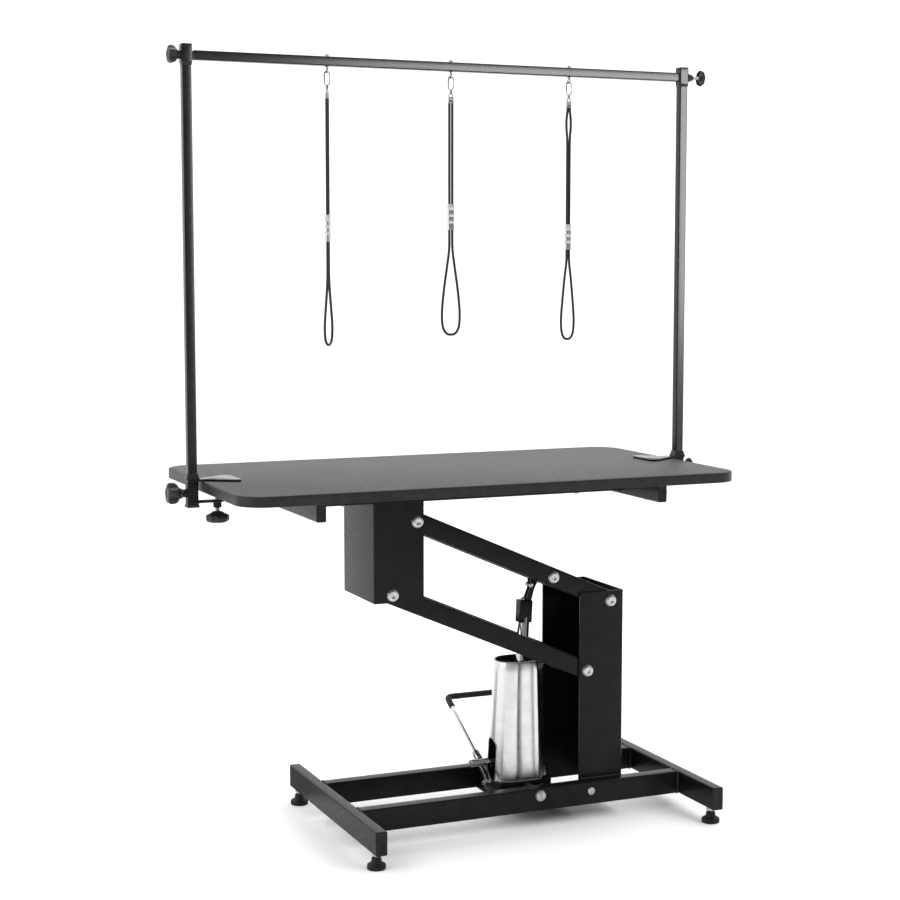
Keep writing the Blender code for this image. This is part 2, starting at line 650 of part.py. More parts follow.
def star_knob(name, tip, inward, radius, thick, hub_radius, hub_end, stud_radius, stud_end, parent):
    """A hand knob on the X axis. tip, hub_end and stud_end are distances along X from the origin."""
    knob = plate(name, [star_outline(radius, 5, 0.10)], thick, (tip.x + inward * thick / 2, 0, tip.z),
                 PLASTIC, ALONG_X, parent)
    face = tip.x + inward * thick / 2
    hub = rod(f"{name}_hub", hub_radius, abs(hub_end - face), ((hub_end + face) / 2, 0, tip.z), PLASTIC,
              ALONG_X)
    stud = rod(f"{name}_stud", stud_radius, abs(stud_end - face), ((stud_end + face) / 2, 0, tip.z),
               PLASTIC, ALONG_X, 12)
    return weld(knob, hub, stud)


def build_clamp(side, sign, parent):
    """One post clamp: sleeve, flared collar, upper jaw, lower tongue and the screw's boss."""
    x = sign * POST_X
    height = CLAMP_TOP - CLAMP_BOTTOM
    clamp = block(f"post_clamp_{side}", (SLEEVE_SIDE, SLEEVE_SIDE, height),
                  (x, 0, (CLAMP_TOP + CLAMP_BOTTOM) / 2), FRAME_BLACK, 0.003, 2, 2, parent=parent)
    jaw_bottom = TABLE_HEIGHT + FIT
    collar = rod(f"clamp_collar_{side}", 0.0195, 0.012, (x, 0, jaw_bottom + 0.010), FRAME_BLACK,
                 (0, 0, math.pi / 4), 4, 0.0165)
    skirt = block(f"clamp_skirt_{side}", (0.026, 0.026, 0.006), (x, 0, CLAMP_BOTTOM + 0.003), FRAME_BLACK)
    near = POST_X + SLEEVE_SIDE / 2
    far = POST_X - 0.094
    half = 0.048
    corner = 0.014
    jaw = [(near, -0.013), (near, 0.013), (POST_X - 0.030, 0.017)]
    jaw += arc((far + corner, half - corner), corner, 70, 180, 3)
    jaw += arc((far + corner, corner - half), corner, 180, 290, 3)
    jaw += [(POST_X - 0.030, -0.017)]
    jaw = [(sign * px, py) for px, py in jaw]
    upper = plate(f"clamp_jaw_{side}", [jaw], JAW_THICK, (0, 0, jaw_bottom + JAW_THICK / 2), FRAME_BLACK)
    reach = near - (SCREW_X - 0.012)
    tongue = block(f"clamp_tongue_{side}", (reach, 0.024, 0.004),
                   (sign * (near - reach / 2), 0, TONGUE_TOP - 0.002), FRAME_BLACK)
    boss = rod(f"clamp_boss_{side}", BOSS_RADIUS, 0.014, (sign * SCREW_X, 0, TONGUE_TOP - 0.009), FRAME_BLACK)
    lock_boss = rod(f"lock_boss_{side}", BOSS_RADIUS, 0.020, (sign * (POST_X + 0.009), 0, LOCK_HEIGHT),
                    FRAME_BLACK, ALONG_X)
    weld(clamp, collar, skirt, upper, tongue, boss, lock_boss)
    bore = block(f"post_way_{side}", (SLEEVE_HOLE, SLEEVE_HOLE, 0.2), (x, 0, TABLE_HEIGHT), FRAME_BLACK)
    thread = rod(f"screw_way_{side}", 0.0054, 0.05, (sign * SCREW_X, 0, TONGUE_TOP - 0.005), FRAME_BLACK)
    lock_way = rod(f"lock_way_{side}", STUD_HOLE, 0.04, (sign * (POST_X + 0.020), 0, LOCK_HEIGHT),
                   FRAME_BLACK, ALONG_X)
    cut(clamp, bore, thread, lock_way)
    board_bottom = TABLE_HEIGHT - MAT_THICK - FIT - BOARD_THICK
    pad = board_bottom - FIT
    profile = ((0.0, pad), (0.0085, pad), (0.0095, pad - 0.003), (0.0048, pad - 0.004), (0.0048, 0.7112),
               (0.0110, 0.7105), (0.0235, 0.7035), (0.0240, 0.6930), (0.0200, 0.6880), (0.0, 0.6880))
    profile = [(radius, z - LOCK_HEIGHT) for radius, z in profile]
    turned(f"clamp_screw_{side}", profile, (sign * SCREW_X, 0, LOCK_HEIGHT), PLASTIC, sides=14,
           parent=parent)
    lock_tip = Vector((sign * LOCK_TIPS[side], 0, LOCK_HEIGHT))
    star_knob(f"post_lock_{side}", lock_tip, -sign, 0.0235, 0.016, 0.011, sign * (POST_X + 0.0195),
              STUD_RADIUS, sign * (POST_X + POST_SIDE / 2 + FIT), parent)


def build_overhead(parent):
    block_middle = (HEAD_BLOCK_TOP + HEAD_BLOCK_BOTTOM) / 2
    for side, sign in (("left", -1), ("right", 1)):
        x = sign * POST_X
        tip = BAR_KNOB_TIPS[side]
        post = box_tube(f"post_{side}", (POST_SIDE, POST_SIDE, HEAD_BLOCK_BOTTOM + 0.004 - POST_BOTTOM),
                        (x, 0, (HEAD_BLOCK_BOTTOM + 0.004 + POST_BOTTOM) / 2), FRAME_BLACK, 2, 0.0015,
                        0.002, parent=parent)
        head = block(f"head_block_{side}", (HEAD_BLOCK, HEAD_BLOCK, HEAD_BLOCK_TOP - HEAD_BLOCK_BOTTOM),
                     (x, 0, block_middle), FRAME_BLACK, 0.003, None, 2)
        weld(post, head)
        cut(post, rod(f"head_block_way_{side}", STUD_HOLE, 0.05, (x, 0, BAR_HEIGHT), FRAME_BLACK, ALONG_X))
        star_knob(f"bar_knob_{side}", Vector((sign * tip, 0, BAR_HEIGHT)), -sign, 0.0190, 0.011, 0.008,
                  sign * (POST_X + HEAD_BLOCK / 2 + FIT), STUD_RADIUS, sign * (POST_X - 0.028), parent)
    bar_length = 2 * (POST_X - HEAD_BLOCK / 2 - FIT)
    bar = box_tube("crossbar", (bar_length, POST_SIDE, POST_SIDE), (0, 0, BAR_HEIGHT), FRAME_BLACK, 0,
                   0.0015, 0.002, parent=parent)
    for number, noose in enumerate(NOOSES, 1):
        x = noose[0]
        cut(bar, rod(f"eye_way_{number}", 0.0030, 0.06, (x, 0, BAR_HEIGHT), FRAME_BLACK, sides=12))
        build_eye_bolt(number, x, parent)


def build_eye_bolt(number, x, parent):
    top = BAR_HEIGHT + POST_SIDE / 2 + FIT
    low = BAR_HEIGHT - POST_SIDE / 2 - FIT
    ring_z = HOOK_PIVOT_Z + 0.0019
    profile = ((0.0, top + 0.0055), (0.0024, top + 0.0055), (0.0024, top + 0.0036), (0.0046, top + 0.0036),
               (0.0046, top), (0.0024, top), (0.0024, low), (0.0040, low), (0.0040, low - 0.0012),
               (0.0018, ring_z + 0.0052), (0.0, ring_z + 0.0045))
    profile = [(radius, z - ring_z) for radius, z in profile]
    bolt = turned(f"eye_bolt_{number}", profile, (x, 0, ring_z), CHROME, sides=12, parent=parent)
    weld(bolt, torus(f"eye_ring_{number}", 0.0050, 0.0014, (x, 0, ring_z), ALONG_X))


def torus(name, major, minor, place, turn, around=12, section=6):
    circle = [(major + minor * math.cos(a), minor * math.sin(a)) for a in
              (-2 * math.pi * i / section for i in range(section))]
    mesh = bpy.data.meshes.new(name)
    mesh.from_pydata([(r, 0.0, z) for r, z in circle], [(i, (i + 1) % section) for i in range(section)], [])
    obj = add_object(name, mesh, CHROME, place, turn)
    screw = obj.modifiers.new("turn", "SCREW")
    screw.axis = "Z"
    screw.angle = 2 * math.pi
    screw.steps = around
    screw.render_steps = around
    screw.use_merge_vertices = True
    screw.merge_threshold = 0.00001
    return obj


# ---------------------------------------------------------------- nooses
def build_noose(number, x, turn, slider_z, outline, frame_joint):
    hook_joint = joint_empty(f"joint_hook_{number}", (x, 0, HOOK_PIVOT_Z), frame_joint)
    build_hook(number, x, hook_joint)
    swivel_joint = joint_empty(f"joint_swivel_{number}", (x, 0, CORD_TOP), hook_joint)
    build_swivel(number, x, turn, swivel_joint)
    spin = Matrix.Rotation(math.radians(turn), 4, "Z")
    down = [Vector((-gap, 0, z)) for gap, z in outline]
    lowest = Vector((0, 0, outline[-1][1] - 0.0030))
    up = [Vector((gap, 0, z)) for gap, z in reversed(outline)]
    route = [Vector((x, 0, 0)) + spin @ point for point in smooth_route(down + [lowest] + up, CORD_STEP)]
    wire(f"noose_cord_{number}", route, CORD_RADIUS, CORD, swivel_joint)
    outer = rounded_rectangle(0.0156, 0.0096, 0.0046, 3)
    inner = list(reversed(rounded_rectangle(0.0128, 0.0068, 0.0032, 3)))
    plate(f"noose_slider_{number}", [outer, inner], 0.056, (x, 0, slider_z), BOLT_STEEL,
          (0, 0, math.radians(turn)), swivel_joint)


def build_hook(number, x, parent):
    """A wire snap hook in the XZ plane, open on its gate side, above its swivel barrel."""
    top = HOOK_PIVOT_Z
    half = 0.0058
    upper = top - half
    lower = top - 0.0215
    points = [(half, upper - 0.0045)] + arc((0, upper), half, 0, 180, 7)
    points += arc((0, lower), half, 180, 360, 7) + [(half, lower + 0.0030)]
    route = [(x + px, 0, pz) for px, pz in points]
    hook = to_mesh(wire(f"snap_hook_{number}", route, 0.0013, CHROME, parent))
    barrel_top = lower - half + 0.0008
    barrel = rod(f"hook_barrel_{number}", 0.0034, 0.0062, (x, 0, barrel_top - 0.0031), CHROME, sides=12)
    weld(hook, barrel)


def build_swivel(number, x, turn, parent):
    barrel_bottom = HOOK_PIVOT_Z - 0.0215 - 0.0058 + 0.0008 - 0.0062
    ring_z = barrel_bottom - FIT - 0.0012 - 0.0050
    collar = rod(f"swivel_eye_{number}", 0.0030, 0.0022, (x, 0, barrel_bottom - FIT - 0.0011), CHROME,
                 (0, 0, math.radians(turn)), 12, parent=parent)
    ring = torus(f"swivel_ring_{number}", 0.0042, 0.0013, (x, 0, ring_z),
                 (math.pi / 2, 0, math.radians(turn)))
    ferrule_top = ring_z - 0.0035
    ferrule_bottom = CORD_TOP + FIT
    ferrule = block(f"cord_ferrule_{number}", (0.0128, 0.0072, ferrule_top - ferrule_bottom),
                    (x, 0, (ferrule_top + ferrule_bottom) / 2), CHROME, 0.0020, 2, 2,
                    turn=(0, 0, math.radians(turn)))
    weld(collar, ring, ferrule)


# ---------------------------------------------------------------- assembly
def build():
    build_base()
    build_column()
    lift = joint_empty("joint_lift", UPPER_PIVOT)
    lower = joint_empty("joint_lower_arm", LOWER_PIVOT)
    table = joint_empty("joint_table", HEAD_UPPER, lift)
    pump = joint_empty("joint_pump", PUMP_PIVOT)
    ram = joint_empty("joint_ram", LIFT_PIVOT, lift)
    pedal = joint_empty("joint_pedal", PEDAL_PIVOT, pump)
    frame = joint_empty("joint_overhead_frame", (0, 0, POST_BOTTOM), table)
    build_arm("upper", UPPER_PIVOT, (UPPER_PIVOT, HEAD_UPPER, LIFT_PIVOT), lift)
    build_arm("lower", LOWER_PIVOT, (LOWER_PIVOT, HEAD_LOWER), lower)
    pin("lift_bolt", LIFT_PIVOT, ARM_OUTER + FIT, PIN_RADIUS, PIN_HEAD_RADIUS, PIN_HEAD_HEIGHT, lift)
    build_head(table)
    build_table(table)
    build_pump(pump)
    build_ram(ram)
    build_pedal(pedal)
    for side, sign in (("left", -1), ("right", 1)):
        build_clamp(side, sign, table)
    build_overhead(frame)
    for number, (x, turn, slider_z, outline) in enumerate(NOOSES, 1):
        build_noose(number, x, turn, slider_z, outline, frame)


build()
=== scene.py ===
"""Looks of the hydraulic grooming table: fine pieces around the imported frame, materials, light.

Metres, in the frame's own axes: +X along the table, -Y towards the viewer's side, +Z up.
"""

import json
import math

import bmesh
import bpy
from mathutils import Matrix, Vector

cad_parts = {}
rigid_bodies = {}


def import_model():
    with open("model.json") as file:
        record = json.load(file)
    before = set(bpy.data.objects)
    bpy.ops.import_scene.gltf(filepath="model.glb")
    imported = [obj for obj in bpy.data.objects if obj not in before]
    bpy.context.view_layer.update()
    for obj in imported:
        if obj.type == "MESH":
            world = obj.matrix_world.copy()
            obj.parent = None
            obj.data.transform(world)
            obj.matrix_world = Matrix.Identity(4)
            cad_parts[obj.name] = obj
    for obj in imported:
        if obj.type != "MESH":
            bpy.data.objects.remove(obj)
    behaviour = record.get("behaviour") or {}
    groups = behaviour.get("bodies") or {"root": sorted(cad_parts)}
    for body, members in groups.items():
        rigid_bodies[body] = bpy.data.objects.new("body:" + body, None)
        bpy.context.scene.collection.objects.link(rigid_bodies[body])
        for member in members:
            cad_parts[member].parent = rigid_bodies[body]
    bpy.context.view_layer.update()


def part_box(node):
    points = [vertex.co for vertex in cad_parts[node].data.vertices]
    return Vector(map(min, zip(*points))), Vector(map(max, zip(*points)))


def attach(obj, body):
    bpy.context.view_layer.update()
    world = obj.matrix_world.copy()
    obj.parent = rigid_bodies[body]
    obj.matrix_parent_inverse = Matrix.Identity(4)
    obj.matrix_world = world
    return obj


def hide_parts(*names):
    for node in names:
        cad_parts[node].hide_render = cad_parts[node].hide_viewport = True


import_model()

# ---------------------------------------------------------------- dimensions
ARM_ANGLE = math.radians(23.6)
ALONG_ARM = Vector((-math.cos(ARM_ANGLE), 0.0, math.sin(ARM_ANGLE)))
UPPER_PIVOT = Vector((0.3477, 0.0, 0.478))
LOWER_PIVOT = Vector((0.2920, 0.0, 0.326))
ARM_LENGTH = 0.500
ARM_OVERHANG = 0.018
ARM_OUTER = 0.0885
LIFT_PIVOT = UPPER_PIVOT + ALONG_ARM * 0.150
HEAD_UPPER = UPPER_PIVOT + ALONG_ARM * ARM_LENGTH
HEAD_LOWER = LOWER_PIVOT + ALONG_ARM * ARM_LENGTH

PUMP_PIVOT = Vector((0.164, 0.0, 0.068))
RAM_LEAN = math.radians(2.7)
PEDAL_PIVOT = Vector((0.078, 0.0, 0.120))
PEDAL_CORNER = Vector((0.080, 0.193, 0.224))
PEDAL_GRIP_LENGTH = 0.135

CHANNEL_HALF = 0.0935
CHANNEL_WALL = 0.004
TABLE_TOP = 0.775
BAND_TOP = 0.7746
BOARD_BOTTOM = 0.7537
TABLE_LENGTH = 1.10
TABLE_WIDTH = 0.60
TABLE_CORNER = 0.058

POST_X = 0.567
POST_SIDE = 0.019
SLEEVE_SIDE = 0.0228
SLEEVE_HOLE = POST_SIDE + 0.0008
BAR_HEIGHT = 1.626
SCREW_X = 0.514
LOCK_HEIGHT = 0.751
LOCK_TIPS = {"left": 0.6195, "right": 0.6045}
BAR_KNOB_TIPS = {"left": 0.6040, "right": 0.6195}

CORD_RADIUS = 0.00275
CORD_TOP = 1.5507
HOOK_PIVOT_Z = 1.6056
# Each noose: place along the bar, turn about its own axis, middle of its slider, and its
# outline from the ferrule to the bottom of the loop as (half gap, height).
NOOSES = (
    (-0.2706, 45.0, 1.2870, ((0.0031, 1.5507), (0.0031, 1.4700), (0.0031, 1.3500), (0.0031, 1.2500),
                             (0.0034, 1.1950), (0.0062, 1.1620), (0.0125, 1.1240), (0.0178, 1.0880),
                             (0.0163, 1.0610), (0.0090, 1.0492))),
    (0.0059, -23.0, 1.3127, ((0.0031, 1.5507), (0.0031, 1.4700), (0.0031, 1.3700), (0.0031, 1.2750),
                             (0.0038, 1.2420), (0.0080, 1.2080), (0.0145, 1.1600), (0.0188, 1.1120),
                             (0.0172, 1.0810), (0.0098, 1.0664))),
    (0.2847, 8.0, 1.2722, ((0.0031, 1.5507), (0.0032, 1.5430), (0.0054, 1.5270), (0.0056, 1.5080),
                           (0.0034, 1.4820), (0.0031, 1.4500), (0.0031, 1.3700), (0.0031, 1.2450),
                           (0.0040, 1.2150), (0.0080, 1.1850), (0.0130, 1.1400), (0.0168, 1.0950),
                           (0.0152, 1.0660), (0.0086, 1.0524))),
)

X = Vector((1, 0, 0))
Y = Vector((0, 1, 0))
Z = Vector((0, 0, 1))
FRONT_AND_BACK = (("front", -1), ("back", 1))


# ---------------------------------------------------------------- camera
def make_camera():
    data = bpy.data.cameras.new("camera")
    data.lens = 73.03
    data.sensor_width = 36.0
    camera = bpy.data.objects.new("camera", data)
    camera.location = (-1.545, -3.5865, 1.216)
    camera.rotation_euler = (math.radians(90 - 5.855), 0.0, math.radians(-23.36))
    bpy.context.scene.collection.objects.link(camera)
    bpy.context.scene.camera = camera


# ---------------------------------------------------------------- materials
class Nodes:
    """A short way to wire a material's nodes."""

    def __init__(self, name, roughness, metallic=0.0, **sockets):
        self.material = bpy.data.materials.new(name)
        self.material.use_nodes = True
        self.tree = self.material.node_tree
        self.shader = self.tree.nodes["Principled BSDF"]
        self.shader.inputs["Roughness"].default_value = roughness
        self.shader.inputs["Metallic"].default_value = metallic
        for socket, value in sockets.items():
            self.shader.inputs[socket.replace("_", " ")].default_value = value
        self.place = self.tree.nodes.new("ShaderNodeTexCoord").outputs["Object"]
        self.last_bump = None

    def link(self, output, node_input):
        self.tree.links.new(output, node_input)

    def node(self, kind, **settings):
        made = self.tree.nodes.new(kind)
        for key, value in settings.items():
            setattr(made, key, value)
        return made

    def stretched(self, scale):
        mapping = self.node("ShaderNodeMapping")
        mapping.inputs["Scale"].default_value = scale
        self.link(self.place, mapping.inputs["Vector"])
        return mapping.outputs["Vector"]

    def noise(self, scale, detail=3.0, stretch=None):
        made = self.node("ShaderNodeTexNoise")
        made.inputs["Scale"].default_value = scale
        made.inputs["Detail"].default_value = detail
        self.link(self.stretched(stretch) if stretch else self.place, made.inputs["Vector"])
        return made.outputs["Fac"]

    def cells(self, scale, feature="F1"):
        made = self.node("ShaderNodeTexVoronoi", feature=feature)
        made.inputs["Scale"].default_value = scale
        self.link(self.place, made.inputs["Vector"])
        return made.outputs["Distance"]

    def ramp(self, value, stops):
        made = self.node("ShaderNodeValToRGB")
        elements = made.color_ramp.elements
        while len(elements) < len(stops):
            elements.new(0.5)
        for element, (position, colour) in zip(elements, stops):
            element.position = position
            element.color = (*colour, 1.0)
        self.link(value, made.inputs["Fac"])
        return made.outputs["Color"]

    def spread(self, value, low, high, start=0.0, end=1.0):
        made = self.node("ShaderNodeMapRange")
        made.inputs["From Min"].default_value = start
        made.inputs["From Max"].default_value = end
        made.inputs["To Min"].default_value = low
        made.inputs["To Max"].default_value = high
        self.link(value, made.inputs["Value"])
        return made.outputs["Result"]

    def blend(self, factor, first, second, mode="MIX"):
        made = self.node("ShaderNodeMix", data_type="RGBA", blend_type=mode)
        for value, position in ((factor, 0), (first, 6), (second, 7)):
            if isinstance(value, (int, float)):
                made.inputs[position].default_value = value
            elif isinstance(value, tuple):
                made.inputs[position].default_value = (*value, 1.0)
            else:
                self.link(value, made.inputs[position])
        return made.outputs[2]

    def edges(self, radius):
        """0 on flat faces, up to 1 where the surface turns within the radius."""
        bevel = self.node("ShaderNodeBevel", samples=4)
        bevel.inputs["Radius"].default_value = radius
        flat = self.node("ShaderNodeNewGeometry").outputs["Normal"]
        dot = self.node("ShaderNodeVectorMath", operation="DOT_PRODUCT")
        self.link(bevel.outputs["Normal"], dot.inputs[0])
        self.link(flat, dot.inputs[1])
        return self.spread(dot.outputs["Value"], 1.0, 0.0, 0.80, 1.0)

    def colour(self, output):
        self.link(output, self.shader.inputs["Base Color"])

    def rough(self, output):
        self.link(output, self.shader.inputs["Roughness"])

    def bump(self, height, distance, strength=0.6):
        made = self.node("ShaderNodeBump")
        made.inputs["Distance"].default_value = distance
        made.inputs["Strength"].default_value = strength
        self.link(height, made.inputs["Height"])
        if self.last_bump:
            self.link(self.last_bump, made.inputs["Normal"])
        self.last_bump = made.outputs["Normal"]
        self.link(self.last_bump, self.shader.inputs["Normal"])


# Painted highlight: noise patches that break up the lightened edges of the powder coat.
EDGE_HIGHLIGHT_PATCHES = ((0.36, (0.2, 0.2, 0.2)), (0.62, (1.0, 1.0, 1.0)))


def powder_coat(name="powder_coat", rough=(0.26, 0.38), peel=1.0, gloss=0.14):
    """Semi-gloss black powder coat: orange peel, faint mottling, and a painted highlight that makes its edges
    a little paler in patches.
    """
    m = Nodes(name, rough[0], IOR=1.5, Specular_IOR_Level=gloss)
    mottle = m.ramp(m.noise(38.0, 5.0), ((0.30, (0.0036, 0.0036, 0.0038)), (0.72, (0.0072, 0.0072, 0.0074))))
    # Painted highlight: edges found with the Bevel node are lightened in the colour itself, then broken into
    # patches.
    edge_highlight = m.ramp(m.edges(0.0010), ((0.05, (0.0, 0.0, 0.0)), (0.40, (0.022, 0.022, 0.023))))
    patchy_edge_highlight = m.blend(1.0, edge_highlight, m.ramp(m.noise(210.0, 4.0), EDGE_HIGHLIGHT_PATCHES), "MULTIPLY")
    m.colour(m.blend(1.0, mottle, patchy_edge_highlight, "ADD"))
    m.rough(m.spread(m.noise(140.0, 4.0), rough[0], rough[1], 0.3, 0.7))
    m.bump(m.noise(520.0, 2.0), 0.00010 * peel, 0.09)
    m.bump(m.noise(1900.0, 2.0), 0.00003 * peel, 0.10)
    return m.material


def chrome(name="chrome", tone=0.36, rough=(0.14, 0.24)):
    """Bright plating: cloudy in places, with the slight waviness of the steel under it."""
    m = Nodes(name, rough[0], 1.0)
    cloud = m.ramp(m.noise(22.0, 4.0), ((0.25, (tone * 0.93,) * 3), (0.75, (tone, tone, tone * 1.01))))
    m.colour(cloud)
    m.rough(m.spread(m.noise(75.0, 6.0), rough[0], rough[1], 0.35, 0.75))
    m.bump(m.noise(30.0, 2.0), 0.00012, 0.10)
    return m.material


def brushed_cover():
    """Polished cover steel: fine grain round the shell that draws reflections out upright."""
    m = Nodes("cover_steel", 0.20, 1.0, Anisotropic=0.9, Anisotropic_Rotation=0.25)
    tones = ((0.25, (0.60, 0.60, 0.603)), (0.75, (0.67, 0.67, 0.673)))
    m.colour(m.ramp(m.noise(260.0, 4.0, (0.04, 0.04, 1.0)), tones))
    m.rough(m.spread(m.noise(60.0, 5.0), 0.17, 0.23, 0.3, 0.7))
    m.bump(m.noise(900.0, 2.0, (0.02, 0.02, 1.0)), 0.00002, 0.15)
    return m.material


def zinc():
    """Zinc-plated steel: fine turning marks and a slightly cloudy surface."""
    m = Nodes("zinc_steel", 0.26, 1.0)
    cloud = m.ramp(m.noise(160.0, 5.0), ((0.25, (0.40, 0.40, 0.41)), (0.75, (0.56, 0.56, 0.57))))
    m.colour(cloud)
    m.rough(m.spread(m.noise(420.0, 4.0), 0.18, 0.38, 0.3, 0.7))
    m.bump(m.noise(1500.0, 2.0, (1.0, 0.15, 1.0)), 0.00004, 0.35)
    return m.material


def plastic(name, dark, light, grain=1500.0, rough=(0.42, 0.60), gloss=0.5):
    """Moulded plastic or rubber with a fine pebbled grain."""
    m = Nodes(name, rough[0], IOR=1.48, Specular_IOR_Level=gloss)
    m.colour(m.ramp(m.noise(55.0, 4.0), ((0.3, dark), (0.7, light))))
    m.rough(m.spread(m.noise(210.0, 4.0), rough[0], rough[1], 0.3, 0.7))
    m.bump(m.cells(grain), 0.00010, 0.35)
    return m.material


def mat_rubber():
    """Grey mat: a fine pebbled skin with darker pits and a soft, broad mottling."""
    m = Nodes("mat_rubber", 0.55, IOR=1.5, Specular_IOR_Level=0.18)
    broad = m.ramp(m.noise(7.0, 4.0), ((0.25, (0.046, 0.047, 0.048)), (0.75, (0.060, 0.061, 0.063))))
    fleck = m.ramp(m.noise(420.0, 5.0), ((0.32, (0.62, 0.62, 0.62)), (0.68, (1.28, 1.28, 1.29))))
    m.colour(m.blend(1.0, broad, fleck, "MULTIPLY"))
    m.rough(m.spread(m.noise(300.0, 3.0), 0.46, 0.62, 0.3, 0.7))
    m.bump(m.cells(620.0), 0.00035, 0.45)
    m.bump(m.noise(1400.0, 3.0), 0.00010, 0.35)
    return m.material


def board_wood():
    """The raw underside of the board: pressed chips, sealed with a thin brown coat."""
    m = Nodes("board_chips", 0.75)
    chips = m.ramp(m.cells(240.0), ((0.0, (0.055, 0.043, 0.032)), (0.55, (0.125, 0.098, 0.070)),
                                    (1.0, (0.185, 0.150, 0.110))))
    grain = m.ramp(m.noise(60.0, 6.0, (0.2, 1.0, 1.0)), ((0.3, (0.75, 0.75, 0.75)), (0.7, (1.1, 1.1, 1.1))))
    m.colour(m.blend(1.0, chips, grain, "MULTIPLY"))
    m.bump(m.noise(700.0, 4.0), 0.00020, 0.5)
    return m.material


def cord_weave():
    """Braided black nylon: the braid is in the mesh; this adds the yarns and their sheen."""
    m = Nodes("noose_braid", 0.62, IOR=1.5)
    m.shader.inputs["Sheen Weight"].default_value = 0.06
    m.shader.inputs["Sheen Roughness"].default_value = 0.4
    m.colour(m.ramp(m.noise(900.0, 3.0), ((0.3, (0.003, 0.003, 0.0033)), (0.7, (0.011, 0.011, 0.0115)))))
    m.rough(m.spread(m.noise(1500.0, 2.0), 0.50, 0.75, 0.3, 0.7))
    m.bump(m.noise(3200.0, 2.0, (1.0, 1.0, 0.35)), 0.00006, 0.5)
    return m.material


def weld_metal():
    m = Nodes("painted_weld", 0.42, IOR=1.5)
    m.colour(m.ramp(m.noise(300.0, 4.0), ((0.3, (0.009, 0.009, 0.0095)), (0.7, (0.017, 0.017, 0.018)))))
    m.rough(m.spread(m.noise(500.0, 3.0), 0.34, 0.50, 0.3, 0.7))
    m.bump(m.noise(900.0, 3.0), 0.00012, 0.5)
    return m.material


POWDER = powder_coat()
POST_COAT = powder_coat("post_coat", (0.20, 0.22), 0.04, 0.28)
JAW_COAT = powder_coat("jaw_coat", (0.12, 0.20), 0.3)
CHROME = chrome()
ROD_CHROME = chrome("rod_chrome", 0.56, (0.06, 0.12))
COVER_STEEL = brushed_cover()
ZINC = zinc()
SEAT_STEEL = chrome("seat_steel", 0.15, (0.34, 0.46))
PLASTIC = plastic("black_plastic", (0.006, 0.006, 0.0065), (0.012, 0.012, 0.0125), gloss=0.22)
SATIN = plastic("satin_plastic", (0.008, 0.008, 0.0085), (0.014, 0.014, 0.0145), 2200.0, (0.30, 0.42), 0.35)
RUBBER = plastic("grip_rubber", (0.009, 0.009, 0.009), (0.016, 0.016, 0.016), 1100.0, (0.55, 0.75))
EDGING = plastic("edge_trim", (0.012, 0.012, 0.0125), (0.019, 0.019, 0.020), 900.0, (0.34, 0.46), 0.22)
MAT = mat_rubber()
WOOD = board_wood()
BRAID = cord_weave()
WELD = weld_metal()


# ---------------------------------------------------------------- mesh helpers
AXIS_RADIUS = 0.00002


def axes(origin, along=Z, across=X):
    """A matrix whose +Z runs along `along` and whose +X is as near `across` as it can be."""
    z = Vector(along).normalized()
    if abs(z.dot(Vector(across).normalized())) > 0.999:
        across = Y
    x = (Vector(across) - z * z.dot(Vector(across))).normalized()
    y = z.cross(x)
    matrix = Matrix((x, y, z)).transposed().to_4x4()
    matrix.translation = origin
    return matrix


def circle(radius, sides, z=0.0, turn=0.0):
    return [Vector((radius * math.cos(turn + 2 * math.pi * i / sides),
                    radius * math.sin(turn + 2 * math.pi * i / sides), z)) for i in range(sides)]


def polar(radius_at, sides, z=0.0):
    """A closed ring whose radius is a function of the angle."""
    ring = []
    for i in range(sides):
        angle = 2 * math.pi * i / sides
        ring.append(Vector((radius_at(angle) * math.cos(angle), radius_at(angle) * math.sin(angle), z)))
    return ring


def hexagon(flats):
    """Radius by angle of a hexagon, from its size across flats."""
    return lambda angle: flats / 2 / math.cos((angle + math.pi / 6) % (math.pi / 3) - math.pi / 6)


def rounded(width, depth, radius, z=0.0, steps=5):
    """A rounded rectangle's ring."""
    ring = []
    for sx, sy, start in ((1, 1, 0), (-1, 1, 90), (-1, -1, 180), (1, -1, 270)):
        for step in range(steps + 1):
            angle = math.radians(start + 90 * step / steps)
            ring.append(Vector((sx * (width / 2 - radius) + radius * math.cos(angle),
                                sy * (depth / 2 - radius) + radius * math.sin(angle), z)))
    return ring


def loft(bm, rings, closed=False):
    """Skins rings of equal count, and caps both ends or, if closed, joins the last ring to the first."""
    rows = [[bm.verts.new(point) for point in ring] for ring in rings]
    pairs = list(zip(rows, rows[1:])) + ([(rows[-1], rows[0])] if closed else [])
    for lower, upper in pairs:
        for i in range(len(lower)):
            j = (i + 1) % len(lower)
            bm.faces.new((lower[i], lower[j], upper[j], upper[i]))
    if not closed:
        bm.faces.new(list(reversed(rows[0])))
        bm.faces.new(rows[-1])


def finish_mesh(bm, name, matrix=None):
    if matrix is not None:
        bm.transform(matrix)
    bmesh.ops.recalc_face_normals(bm, faces=bm.faces)
    mesh = bpy.data.meshes.new(name)
    bm.to_mesh(mesh)
    bm.free()
    return mesh


def lofted(name, rings, matrix=None, closed=False):
    """The finished mesh of a loft."""
    bm = bmesh.new()
    loft(bm, rings, closed)
    return finish_mesh(bm, name, matrix)


def piece(name, mesh, material, body, replaces=(), angle=38.0):
    obj = bpy.data.objects.new(name, mesh)
    bpy.context.scene.collection.objects.link(obj)
    mesh.materials.append(material)
    mesh.shade_smooth()
    mesh.set_sharp_from_angle(angle=math.radians(angle))
    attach(obj, body)
    if replaces:
        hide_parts(*replaces)
    return obj


def lathe(name, profile, matrix, material, body, replaces=(), sides=40, angle=38.0):
    """A turned piece from (radius, height) pairs; a radius of 0 closes an end."""
    rings = [circle(max(radius, AXIS_RADIUS), sides, z) for radius, z in profile]
    return piece(name, lofted(name, rings, matrix), material, body, replaces, angle)


